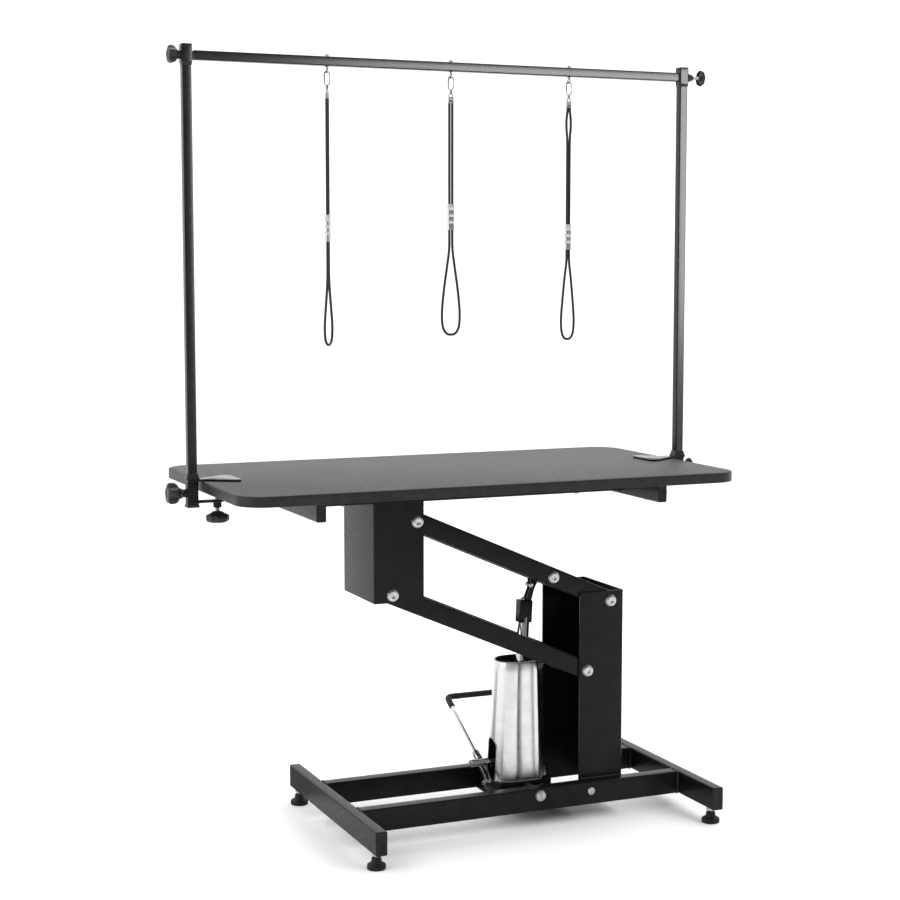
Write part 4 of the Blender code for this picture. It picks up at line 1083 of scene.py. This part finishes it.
def make_cover():
    heights = [COVER_BOTTOM] + [COVER_BOTTOM + 0.0008 + 0.2612 * i / 12 for i in range(13)]
    heights += [COVER_TOP - 0.003, COVER_TOP - 0.0016, COVER_TOP - 0.0004, COVER_TOP]
    rings = [cover_ring(z) for z in heights] + [cover_ring(z, COVER_WALL) for z in reversed(heights)]
    shell = lofted("pump_cover", rings, closed=True)
    cover = piece("pump_cover", shell, COVER_STEEL, "pump", ("pump_cover",))
    edge = [(y, z if z > COVER_BOTTOM else COVER_BOTTOM - 0.01) for y, z in arch_points()]
    without(cover, lofted("arch_cutter", [[Vector((x, y, z)) for y, z in edge] for x in (0.080, 0.140)]))
    rim = [Vector((cover_face_x(y, z) + 0.0004, y, z)) for y, z in arch_points()]
    rim = resampled(rim, 0.002)
    rim = [Vector((cover_face_x(p.y, p.z) + 0.0004, p.y, p.z)) for p in rim]
    wire_piece("cover_arch_rim", rim, 0.0015, CHROME, "pump", sides=12, up=X)
    ring = cover_ring(COVER_TOP - 0.0006, -0.0004)
    wire_piece("cover_top_rim", ring, 0.0012, CHROME, "pump", sides=12, closed=True)
    foot = cover_ring(COVER_BOTTOM + 0.0012, -0.0004)
    foot = [point for point in foot if point.x > 0.150 or abs(point.y) > ARCH_HALF]
    start = next(i for i in range(len(foot)) if (foot[i] - foot[i - 1]).length > ARCH_HALF)
    wire_piece("cover_foot_band", foot[start:] + foot[:start], 0.0013, CHROME, "pump", sides=12)


def make_pump_body():
    body = "pump"
    box_piece("pump_casting", (0.132, 0.092, 0.034), 0.014, 0.003, axes((0.168, 0, 0.0457)), POWDER, body,
              ("pump_body",))
    box_piece("pump_sole", (0.158, 0.176, 0.006), 0.006, 0.0012, axes((0.180, 0, 0.0400)), POWDER, body)
    cylinder = ((0.0208, 0.0), (0.0262, 0.0), (0.0270, 0.0008), (0.0270, 0.2400), (0.0290, 0.2420),
                (0.0290, 0.2560), (0.0278, 0.2580), (0.0240, 0.2640), (0.0208, 0.2650))
    rings = [circle(radius, 48, z) for radius, z in cylinder]
    mesh = lofted("pump_cylinder", rings, axes(ram_point(0.0600), RAM_AXIS), True)
    piece("pump_cylinder", mesh, POWDER, body)
    for side, way in FRONT_AND_BACK:
        ear = ((0.0070, 0.0), (0.0115, 0.0), (0.0118, 0.0004), (0.0118, 0.0470), (0.0070, 0.0474))
        lathe(f"pump_trunnion_{side}", ear, axes(PUMP_PIVOT + Y * way * 0.0462, Y * way), POWDER, body)
        plug = Vector((0.205, way * 0.046, 0.0640))
        hex_nut(f"valve_plug_{side}", 0.0135, 0.0050, 0.0020, axes(plug, Y * way), ZINC, body)
    box_piece("pedal_stand", (0.010, 0.030, 0.070), 0.003, 0.0012, axes((0.126, 0, 0.0690)), POWDER, body)
    spindle = ((0.0, 0.0), (0.0036, 0.0), (0.0042, 0.0006), (0.0042, 0.0790), (0.0, 0.0800))
    lathe("pedal_spindle", spindle, axes((0.048, 0, PEDAL_PIVOT.z), X), ZINC, body, sides=28)
    release = Vector((0.100, 0.020, 0.0660))
    lathe("release_valve", ((0.0, 0.0), (0.0048, 0.0), (0.0048, 0.006), (0.0034, 0.007), (0.0034, 0.0105),
                            (0.0, 0.0108)), axes(release, -X), ZINC, body, sides=28)


def make_ram():
    body = "ram"
    bottom = ram_point(0.200)
    top = ram_point(0.4692)
    length = (top - bottom).length
    rod = ((0.0, 0.0), (0.0122, 0.0), (ROD_RADIUS, 0.0008), (ROD_RADIUS, length - 0.0016),
           (0.0122, length - 0.0004), (0.0, length - 0.0004))
    lathe("piston_rod", rod, axes(bottom, RAM_AXIS), ROD_CHROME, body, ("piston_rod",), 48)
    make_cap(body)
    nut = ram_point(CAP_TOP) - X * 0.0035
    hex_nut("cap_nut", 0.0130, 0.0042, 0.0030, axes(nut, RAM_AXIS), ZINC, body, 0.0012)
    lathe("cap_nut_dome", ((0.0, 0.0), (0.0040, 0.0), (0.0040, 0.0042), (0.0035, 0.0054), (0.0020, 0.0062),
                           (0.0, 0.0065)), axes(nut, RAM_AXIS), ZINC, body, sides=28)
    make_link(body)


def make_cap(body):
    """The square steel cap on the rod's end: bored from below, with a slot in its front and back."""
    height = CAP_TOP - CAP_BOTTOM
    matrix = axes(ram_point(CAP_BOTTOM), RAM_AXIS)

    def ring(inset, z):
        return rounded(0.030 - 2 * inset, 0.028 - 2 * inset, 0.0042 - inset, z, 9)
    rings = [ring(0.0010, 0.0), ring(0.0003, 0.0003), ring(0.0, 0.0010), ring(0.0, height - 0.0016),
             ring(0.0005, height - 0.0005), ring(0.0016, height)]
    mesh = lofted("rod_cap", rings, matrix)
    cap = piece("rod_cap", mesh, POWDER, body, ("rod_bracket",))
    bore = [circle(ROD_RADIUS + 0.0003, 48, z) for z in (-0.010, 0.0425)]
    without(cap, lofted("bore_cutter", bore, matrix))
    half = 0.0036
    foot = [Vector((-half, 0, -0.010)), Vector((half, 0, -0.010))]
    outline = foot + arc_points((0, 0, 0.0085), half, 0, 180, 8)
    slot = [[point + Y * y for point in outline] for y in (-0.020, 0.020)]
    without(cap, lofted("slot_cutter", slot, matrix))


def make_link(body):
    """The curved link from the cap to the lift bolt, its lug round the bolt, and their small bolts."""
    foot = ram_point(CAP_TOP) + Vector((0.0075, 0, 0.0030))
    reach = LIFT_PIVOT - foot
    span = reach.length
    for side, way in FRONT_AND_BACK:
        origin = foot + Y * (way * 0.0065 + 0.0025)
        slab(f"ram_cheek_{side}", link_outline(span), 0.005, 0.0009, axes(origin, -Y, reach), POWDER, body)
    box_piece("ram_cheek_block", (0.0100, 0.0085, 0.0150), 0.003, 0.001,
              axes(foot - reach.normalized() * 0.006, reach, Y), POWDER, body)
    eye = ((0.0082, 0.0), (0.0128, 0.0), (0.0134, 0.0006), (0.0134, 0.0174), (0.0128, 0.0180),
           (0.0082, 0.0180))
    lathe("ram_eye", eye, axes(LIFT_PIVOT - Y * 0.0090, Y), POWDER, body)
    for side, way in FRONT_AND_BACK:
        place = foot + reach * 0.50 + Vector((-0.0060, way * 0.0088, 0))
        small_bolt(f"ram_cheek_bolt_{side}", place, Y * way, 0.0050, 0.0036, body, 0.008)


def link_outline(span):
    """A foot, a waist that bends towards the column, and a broad eye."""
    def outline(shrink, z):
        lower = ((0.35 * span, -0.0052), (0.55 * span, -0.0066))
        upper = ((0.66 * span, 0.0100), (0.52 * span, 0.0078), (0.34 * span, 0.0052))
        ring = arc_points((0, 0, z), 0.0066 - shrink, 90, 270, 16, X, Y)
        ring += [Vector((x, y + shrink, z)) for x, y in lower]
        ring += arc_points((span, 0, z), 0.0134 - shrink, -100, 100, 24, X, Y)
        return ring + [Vector((x, y - shrink, z)) for x, y in upper]
    return outline


# ---------------------------------------------------------------- pedal
def make_pedal():
    body = "pedal"
    towards = (PEDAL_CORNER - PEDAL_PIVOT).normalized()
    barrel = ((0.0048, 0.0), (0.0078, 0.0), (0.0085, 0.0007), (0.0085, 0.0433), (0.0078, 0.0440),
              (0.0048, 0.0440))
    rings = [circle(radius, 40, z) for radius, z in barrel]
    mesh = lofted("pedal_barrel", rings, axes((0.0530, 0, PEDAL_PIVOT.z), X), True)
    piece("pedal_barrel", mesh, CHROME, body, ("pedal_crank",))
    socket = ((0.0046, 0.0), (0.0074, 0.0), (0.0080, 0.0008), (0.0080, 0.0240), (0.0072, 0.0250),
              (0.0046, 0.0252))
    lathe("pedal_socket", socket, axes(PEDAL_PIVOT + towards * 0.0085, towards, X), CHROME, body)
    small_bolt("pedal_set_screw", PEDAL_PIVOT + towards * 0.024 - X * 0.0078, -X, 0.0030, 0.0016, body, 0.002)
    tail_end = Vector((0.078, -0.036, 0.087))
    way = tail_end - PEDAL_PIVOT

    def cheek(shrink, z):
        return (arc_points((0, 0, z), 0.0078 - shrink, 90, 270, 12, X, Y)
                + arc_points((way.length, 0, z), 0.0052 - shrink, -90, 90, 12, X, Y))
    for number, x in enumerate((-0.0062, 0.0042), 1):
        matrix = axes(PEDAL_PIVOT + X * x, X, way)
        slab(f"pedal_cheek_{number}", cheek, 0.0022, 0.0005, matrix, CHROME, body)
    roller = tail_end - X * 0.0085
    lathe("pedal_roller_pin", ((0.0, 0.0), (0.0028, 0.0), (0.0030, 0.0004), (0.0030, 0.0166), (0.0, 0.0170)),
          axes(roller, X), ZINC, body, sides=24)
    end = PEDAL_CORNER + X * PEDAL_GRIP_LENGTH
    bend = 0.012
    corner = []
    for i in range(13):
        t = i / 12
        corner.append((1 - t) ** 2 * (PEDAL_CORNER - towards * bend) + 2 * t * (1 - t) * PEDAL_CORNER
                      + t ** 2 * (PEDAL_CORNER + X * bend))
    start = PEDAL_PIVOT + towards * 0.0125
    wire_piece("pedal_rod", [start, start + towards * 0.05, PEDAL_CORNER - towards * 0.05] + corner + [end],
               0.0041, ROD_CHROME, body, ("pedal_rod",), 24, soft_ends=False)
    make_grip(body, towards, corner, end)


def make_grip(body, towards, corner, end):
    """A moulded rubber sleeve with shallow rings, a collar and a rounded nose."""
    route = [PEDAL_CORNER - towards * 0.034] + corner + [end + X * 0.0030]
    step = 0.0011
    points = resampled(route, step)
    count = len(points)
    length = count * step

    def radius_at(t):
        along = t * length
        radius = 0.0070
        if along < 0.004:
            radius = 0.0066 + 0.0006 * math.sin(math.pi * along / 0.004)
        elif 0.058 < along < length - 0.014:
            radius = 0.0070 - 0.00035 * max(0.0, math.sin(2 * math.pi * along / 0.0062)) ** 2
        return radius

    def section(i):
        r = radius_at(i / (count - 1))
        return [(r * math.cos(2 * math.pi * k / 28), r * math.sin(2 * math.pi * k / 28)) for k in range(28)]
    rings = sweep_rings(points, section)
    rings = [[points[0] + (p - points[0]) * 0.62 for p in rings[0]]] + rings
    for scale, shift in ((0.92, 0.0012), (0.72, 0.0024), (0.36, 0.0030)):
        rings.append([points[-1] + (p - points[-1]) * scale + X * shift for p in rings[count]])
    piece("pedal_grip", lofted("pedal_grip", rings), RUBBER, body, ("pedal_grip",), 50)


# ---------------------------------------------------------------- clamps
CLAMP_TOP = 0.7912
CLAMP_BOTTOM = 0.7217
JAW_BOTTOM = 0.7753
TONGUE_BOTTOM = 0.7305
BOSS_BOTTOM = 0.7190


def square_sleeve(name, outer, inner, low, high, x, material, body, replaces=(), flare=()):
    """A square sleeve round a post; flare lists (height above low, growth) pairs of its outer side."""
    def ring(side, z):
        return rounded(side, side, 0.0030, z, 6)
    stops = flare or ((0.0, -0.0006), (0.0004, 0.0), (high - low - 0.0004, 0.0), (high - low, -0.0006))
    rings = [ring(outer + 2 * grow, low + z) for z, grow in stops] + [ring(inner, high), ring(inner, low)]
    return piece(name, lofted(name, rings, axes((x, 0, 0)), True), material, body, replaces)


def jaw_outline(sign):
    """The upper jaw: a tongue from the post that widens to a pad with rounded corners."""
    near = POST_X + SLEEVE_SIDE / 2
    far = POST_X - 0.094
    half = 0.048
    corner = 0.014

    def outline(shrink, z):
        waist = POST_X - 0.030 - shrink * 0.3
        points = [Vector((near - shrink, -0.013 + shrink, z)), Vector((near - shrink, 0.013 - shrink, z)),
                  Vector((waist, 0.017 - shrink, z))]
        for start, end, way in ((70, 180, 1), (180, 290, -1)):
            centre = (far + corner, way * (half - corner), z)
            points += arc_points(centre, corner - shrink, start, end, 8, X, Y)
        points.append(Vector((waist, -0.017 + shrink, z)))
        return [Vector((sign * point.x, point.y, z)) for point in points]
    return outline


def make_clamp(side, sign):
    body = "table"
    x = sign * POST_X
    square_sleeve(f"clamp_sleeve_{side}", SLEEVE_SIDE, SLEEVE_HOLE, CLAMP_BOTTOM, CLAMP_TOP - 0.001, x,
                  POWDER, body, (f"post_clamp_{side}",))
    collar = ((0.0, 0.0018), (0.0004, 0.0022), (0.0014, 0.0022), (0.0038, 0.0010), (0.0068, 0.0002),
              (0.0104, -0.0004), (0.0116, -0.0008), (0.0120, -0.0014))
    skirt = ((0.0, -0.0008), (0.0006, 0.0), (0.0046, 0.0), (0.0056, -0.0010), (0.0060, -0.0020))
    for part, outer, low, flare in (("collar", 0.0236, JAW_BOTTOM + 0.0042, collar),
                                    ("skirt", 0.026, CLAMP_BOTTOM, skirt)):
        square_sleeve(f"clamp_{part}_{side}", outer, SLEEVE_HOLE, low, low + flare[-1][0], x, SATIN, body,
                      (), flare)
    slab(f"clamp_jaw_{side}", jaw_outline(sign), 0.004, 0.0010, axes((0, 0, JAW_BOTTOM)), JAW_COAT, body)
    reach = POST_X + SLEEVE_SIDE / 2 - SCREW_X + 0.012
    middle = sign * (POST_X + SLEEVE_SIDE / 2 - reach / 2)
    box_piece(f"clamp_tongue_{side}", (reach, 0.024, 0.004), 0.005, 0.0009, axes((middle, 0, TONGUE_BOTTOM)),
              POWDER, body)
    boss = ((0.0050, 0.0), (0.0080, 0.0), (0.0085, 0.0006), (0.0085, 0.0155), (0.0080, 0.0160),
            (0.0050, 0.0160))
    lathe(f"clamp_boss_{side}", boss, axes((sign * SCREW_X, 0, BOSS_BOTTOM)), POWDER, body)
    lock = ((0.0044, 0.0), (0.0085, 0.0), (0.0085, 0.0068), (0.0080, 0.0076), (0.0044, 0.0076))
    start = Vector((sign * (POST_X + SLEEVE_SIDE / 2), 0, LOCK_HEIGHT))
    lathe(f"lock_boss_{side}", lock, axes(start, X * sign), POWDER, body)
    around_boss = [point + X * sign * SCREW_X for point in circle(0.0089, 24, TONGUE_BOTTOM)]
    weld_bead(f"weld_boss_{side}", around_boss, 0.0013, body, True)
    inner_face = x - sign * (SLEEVE_SIDE / 2 + 0.0002)
    joint = [Vector((inner_face, y, TONGUE_BOTTOM + 0.0001)) for y in (-0.0112, 0.0112)]
    weld_bead(f"weld_tongue_{side}", joint, 0.0015, body)
    make_screw(side, sign)
    make_lock(side, sign)


def make_screw(side, sign):
    """The screw from below: rubber pad, threaded rod and a flat round knob with finger scallops."""
    body = f"clamp_screw_{side}"
    place = Vector((sign * SCREW_X, 0, 0))
    pad = BOARD_BOTTOM - 0.0003
    low = 0.7085
    profile = ((0.0, -0.0042), (0.0070, -0.0040), (0.0094, -0.0030), (0.0095, -0.0016), (0.0090, -0.0003),
               (0.0084, 0.0), (0.0, 0.0))
    lathe(f"clamp_pad_{side}", profile, axes(place + Z * pad), RUBBER, body,
          (f"clamp_screw_{side}",))
    thread_piece(f"clamp_thread_{side}", 0.0048, pad - 0.0040 - low, 0.0015, axes(place + Z * low), ZINC,
                 body)

    def scalloped(radius, depth):
        return lambda angle: radius * (1 - depth * (0.5 + 0.5 * math.cos(9 * angle)) ** 2)
    shape = ((0.0060, 0.7112, 0.0), (0.0088, 0.7108, 0.0), (0.0118, 0.7092, 0.0), (0.0150, 0.7066, 0.01),
             (0.0196, 0.7046, 0.03), (0.0229, 0.7032, 0.05), (0.0240, 0.7014, 0.06), (0.0240, 0.6945, 0.06),
             (0.0231, 0.6920, 0.05), (0.0206, 0.6896, 0.03), (0.0168, 0.6884, 0.01), (0.0090, 0.6880, 0.0),
             (0.0, 0.6880, 0.0))
    rings = [polar(scalloped(max(radius, AXIS_RADIUS), depth), 108, z) for radius, z, depth in shape]
    name = f"clamp_knob_{side}"
    piece(name, lofted(name, rings, axes(place)), SATIN, body)


def star_knob(name, tip, inward, radius, thick, hub_radius, hub_end, body, replaces, lobes=5, carve=1.0):
    """A star knob on the X axis; tip is its outer face, hub_end where its hub ends."""
    def star(scale, depth):
        return lambda a: radius * scale * (1 - depth * carve + depth * carve * math.cos(lobes * a))
    sides = 100
    hub = abs(hub_end - tip.x)
    shape = ((0.30, 0.0, 0.0014), (0.34, 0.0, 0.0002), (0.52, 0.01, 0.0), (0.76, 0.05, 0.0008),
             (0.90, 0.09, 0.0024), (0.98, 0.11, 0.0050), (1.0, 0.12, 0.0074), (0.99, 0.12, thick * 0.55),
             (0.93, 0.10, thick * 0.74), (0.80, 0.06, thick * 0.90), (0.64, 0.01, thick))
    hub_shape = ((hub_radius * 1.25, thick + 0.0008), (hub_radius * 1.04, thick + 0.0022),
                 (hub_radius, hub - 0.0006), (hub_radius - 0.0006, hub), (0.0036, hub))
    rings = [circle(radius * 0.02, sides, 0.0012)]
    rings += [polar(star(scale, depth), sides, z) for scale, depth, z in shape]
    rings += [circle(ring_radius, sides, z) for ring_radius, z in hub_shape]
    piece(name, lofted(name, rings, axes(tip, X * inward, Z)), SATIN, body, replaces)


def make_lock(side, sign):
    body = f"post_lock_{side}"
    tip = Vector((sign * LOCK_TIPS[side], 0, LOCK_HEIGHT))
    thick = 0.024 if side == "left" else 0.015
    star_knob(f"lock_knob_{side}", tip, -sign, 0.0232, thick, 0.0105, sign * (POST_X + 0.0213), body,
              (f"post_lock_{side}",), 5, 1.3)
    start = Vector((sign * (POST_X + POST_SIDE / 2 + 0.0004), 0, LOCK_HEIGHT))
    thread_piece(f"lock_stud_{side}", 0.0040, 0.0150, 0.00125, axes(start, X * sign), ZINC, body)


# ---------------------------------------------------------------- overhead frame
HEAD_BLOCK = 0.0225
HEAD_BLOCK_TOP = 1.6480
HEAD_BLOCK_BOTTOM = 1.6100


def make_head_block(side, x):
    """The moulded head on a post: a socketed block with a chamfered cap and a skirt below."""
    skirt = ((-0.0016, -0.0045), (-0.0012, -0.0041), (-0.0006, 0.0), (-0.0002, 0.0014), (0.0, 0.0030))
    cap = ((0.0, -0.0056), (-0.0005, -0.0050), (-0.0005, -0.0044), (0.0, -0.0038), (0.0, -0.0016),
           (-0.0005, -0.0005), (-0.0016, 0.0))
    profile = [(grow, HEAD_BLOCK_BOTTOM + z) for grow, z in skirt]
    profile += [(grow, HEAD_BLOCK_TOP + z) for grow, z in cap]
    rings = [rounded(HEAD_BLOCK + 2 * grow, HEAD_BLOCK + 2 * grow, 0.0030, z, 6) for grow, z in profile]
    name = f"head_block_{side}"
    piece(name, lofted(name, rings, axes((x, 0, 0))), POST_COAT, "overhead_frame")


def make_overhead():
    body = "overhead_frame"
    seat = ((0.0110, 0.0), (0.0162, 0.0), (0.0166, 0.0004), (0.0166, 0.0031), (0.0162, 0.0035),
            (0.0110, 0.0035))
    for side, sign in (("left", -1), ("right", 1)):
        low, _ = box_of(f"post_{side}")
        hollow_tube(f"post_{side}", POST_SIDE, POST_SIDE, 0.0024, 0.0015, HEAD_BLOCK_BOTTOM + 0.004 - low.z,
                    axes((sign * POST_X, 0, low.z)), body, (f"post_{side}",), (0,), POST_COAT)
        make_head_block(side, sign * POST_X)
        if side == "left":
            make_left_knob(BAR_KNOB_TIPS["left"])
        else:
            make_right_knob(BAR_KNOB_TIPS["right"])
        inner = Vector((sign * (POST_X - HEAD_BLOCK / 2 - 0.0002), 0, BAR_HEIGHT))
        name = f"bar_seat_{side}"
        rings = [rounded(width, width, 0.0026, z, 5) for width, z in seat]
        piece(name, lofted(name, rings, axes(inner, X * -sign, Y), True), SEAT_STEEL, body)
    low, high = box_of("crossbar")
    hollow_tube("crossbar", POST_SIDE, POST_SIDE, 0.0024, 0.0015, high.x - low.x - 0.007,
                axes((low.x + 0.0035, 0, BAR_HEIGHT), X, Y), body, ("crossbar",), (), POST_COAT)
    for number, noose in enumerate(NOOSES, 1):
        make_eye_bolt(number, noose[0])


def make_left_knob(tip_x):
    """The left knob: a full star screwed home against the head block."""
    hub_end = -(POST_X + HEAD_BLOCK / 2 + 0.0003)
    star_knob("bar_knob_left", Vector((-tip_x, 0, BAR_HEIGHT)), 1, 0.0190, 0.0175, 0.0085, hub_end,
              "bar_knob_left", ("bar_knob_left",))


def make_right_knob(tip_x):
    """The right knob: a slim star on a bare thread, with a short cone against the head block."""
    body = "bar_knob_right"
    star_knob("bar_knob_right", Vector((tip_x, 0, BAR_HEIGHT)), -1, 0.0174, 0.0048, 0.0050, tip_x - 0.0085,
              body, ("bar_knob_right",), 8, 0.25)
    start = Vector((POST_X + HEAD_BLOCK / 2 + 0.0003, 0, BAR_HEIGHT))
    cone = ((0.0, 0.0), (0.0098, 0.0), (0.0100, 0.0008), (0.0096, 0.0030), (0.0078, 0.0090), (0.0070, 0.0130),
            (0.0058, 0.0144), (0.0, 0.0145))
    lathe("bar_cone_right", cone, axes(start, X), SATIN, body)
    thread_piece("bar_thread_right", 0.0034, 0.0185, 0.0010, axes(start + X * 0.0120, X), ZINC, body)


def make_eye_bolt(number, x):
    body = "overhead_frame"
    top = BAR_HEIGHT + POST_SIDE / 2 + 0.0003
    low = BAR_HEIGHT - POST_SIDE / 2 - 0.0003
    ring_z = HOOK_PIVOT_Z + 0.0019
    washer(f"eye_washer_{number}", 0.0054, 0.0024, 0.0007, axes((x, 0, top)), ZINC, body)
    hex_nut(f"eye_nut_{number}", 0.0082, 0.0036, 0.0022, axes((x, 0, top + 0.0007)), ZINC, body,
            0.0009)
    thread_piece(f"eye_thread_{number}", 0.0024, 0.0062, 0.0008, axes((x, 0, top)), ZINC, body)
    stem = ((0.0, low), (0.0038, low), (0.0040, low - 0.0003), (0.0040, low - 0.0010), (0.0034, low - 0.0014),
            (0.0019, low - 0.0020), (0.0017, ring_z + 0.0054), (0.0, ring_z + 0.0046))
    lathe(f"eye_stem_{number}", stem, axes((x, 0, 0)), CHROME, body, sides=28)
    ring = arc_points((x, 0, ring_z), 0.0050, 0, 360, 40, Y)[:-1]
    wire_piece(f"eye_ring_{number}", ring, 0.0014, CHROME, body, (f"eye_bolt_{number}",), 16,
               True, X)


# ---------------------------------------------------------------- stage and light
def make_stage():
    bm = bmesh.new()
    bmesh.ops.create_grid(bm, x_segments=8, y_segments=8, size=14.0)
    mesh = finish_mesh(bm, "floor", Matrix.Translation((0, 0, -0.0002)))
    floor = bpy.data.objects.new("floor", mesh)
    bpy.context.scene.collection.objects.link(floor)
    m = Nodes("floor_paper", 0.9)
    m.colour(m.ramp(m.noise(1.2, 2.0), ((0.3, (0.93, 0.93, 0.93)), (0.7, (0.95, 0.95, 0.95)))))
    mesh.materials.append(m.material)


def area_light(name, place, aim, size, power):
    data = bpy.data.lights.new(name, "AREA")
    data.shape = "RECTANGLE"
    data.size, data.size_y = size
    data.energy = power
    light = bpy.data.objects.new(name, data)
    light.location = place
    light.rotation_euler = (Vector(aim) - Vector(place)).to_track_quat("-Z", "Y").to_euler()
    bpy.context.scene.collection.objects.link(light)
    return light


def make_world():
    """A white studio: brightest behind and beside the object, a little dimmer on the viewer's side."""
    world = bpy.data.worlds.new("studio")
    world.use_nodes = True
    bpy.context.scene.world = world
    bpy.context.scene.view_settings.view_transform = "Standard"
    tree = world.node_tree
    background = tree.nodes["Background"]
    coordinates = tree.nodes.new("ShaderNodeTexCoord")
    split = tree.nodes.new("ShaderNodeSeparateXYZ")
    tree.links.new(coordinates.outputs["Generated"], split.inputs["Vector"])
    fade = tree.nodes.new("ShaderNodeMapRange")
    fade.interpolation_type = "SMOOTHSTEP"
    for socket, value in (("From Min", -0.90), ("From Max", 0.10), ("To Min", 0.35), ("To Max", 1.30)):
        fade.inputs[socket].default_value = value
    tree.links.new(split.outputs["Y"], fade.inputs["Value"])
    tree.links.new(fade.outputs["Result"], background.inputs["Strength"])
    background.inputs["Color"].default_value = (1.0, 1.0, 1.0, 1.0)


CARD_LIFT = 0.0005


def reflected_card(name, azimuth, spread, near, far, height, tone=0.005):
    """A dark strip that only mirrors show: along the floor away from the pump, then up.

    azimuth and spread are in degrees from -Y towards +X.
    """
    foot = Vector((COVER_X, 0.0, CARD_LIFT))
    rows = []
    for distance, lift in ((near, 0.0), (far, 0.0), (far, height)):
        rows.append([foot + Z * lift + (X * math.sin(angle) - Y * math.cos(angle)) * distance
                     for angle in (math.radians(azimuth - spread), math.radians(azimuth + spread))])
    points = [point for row in rows for point in row]
    mesh = bpy.data.meshes.new(name)
    mesh.from_pydata(points, [], [(0, 1, 3, 2), (2, 3, 5, 4)])
    m = Nodes(name, 1.0)
    m.colour(m.ramp(m.noise(2.0), ((0.3, (tone * 0.9,) * 3), (0.7, (tone * 1.1,) * 3))))
    mesh.materials.append(m.material)
    card = bpy.data.objects.new(name, mesh)
    bpy.context.scene.collection.objects.link(card)
    card.visible_camera = False
    card.visible_diffuse = False
    card.visible_shadow = False


def make_lights():
    """Soft lights, a panel that only the overhead frame mirrors, and dark cards for the chrome cover."""
    panel = area_light("panel_right", (2.40, -3.7, 1.62), (0.3, 0.0, 1.62), (2.5, 1.5), 215.0)
    panel.visible_diffuse = False
    receivers = bpy.data.collections.new("panel_receivers")
    for obj in bpy.data.objects:
        if obj.type == "MESH" and POST_COAT in obj.data.materials.values():
            receivers.objects.link(obj)
    panel.light_linking.receiver_collection = receivers
    key = area_light("key", (2.2, -3.4, 2.6), (0.3, 0.0, 0.8), (2.0, 1.8), 70.0)
    key.visible_glossy = False
    area_light("fill_left", (-3.2, -0.6, 2.0), (0.0, 0.0, 0.7), (2.2, 2.2), 25.0)
    area_light("top", (0.2, 0.6, 3.6), (0.1, 0.0, 0.6), (3.2, 2.4), 40.0)
    sky = bpy.data.objects.new("sky", bpy.data.lights.new("sky", "SUN"))
    sky.data.energy = 0.8
    sky.data.angle = math.radians(100)
    sky.visible_glossy = False
    bpy.context.scene.collection.objects.link(sky)
    reflected_card("card_band", 17.5, 2.3, 0.16, 2.4, 1.6)
    reflected_card("card_side", 31.5, 1.2, 0.16, 2.4, 1.6)
    reflected_card("card_left", -135.0, 16.0, 0.16, 2.0, 0.02, 0.25)


# ---------------------------------------------------------------- assembly
make_base()
make_column()
make_head()
make_arms()
make_top()
make_table_frame()
make_cover()
make_pump_body()
make_ram()
make_pedal()
make_clamp("left", -1)
make_clamp("right", 1)
make_overhead()
make_stage()
make_world()
make_lights()
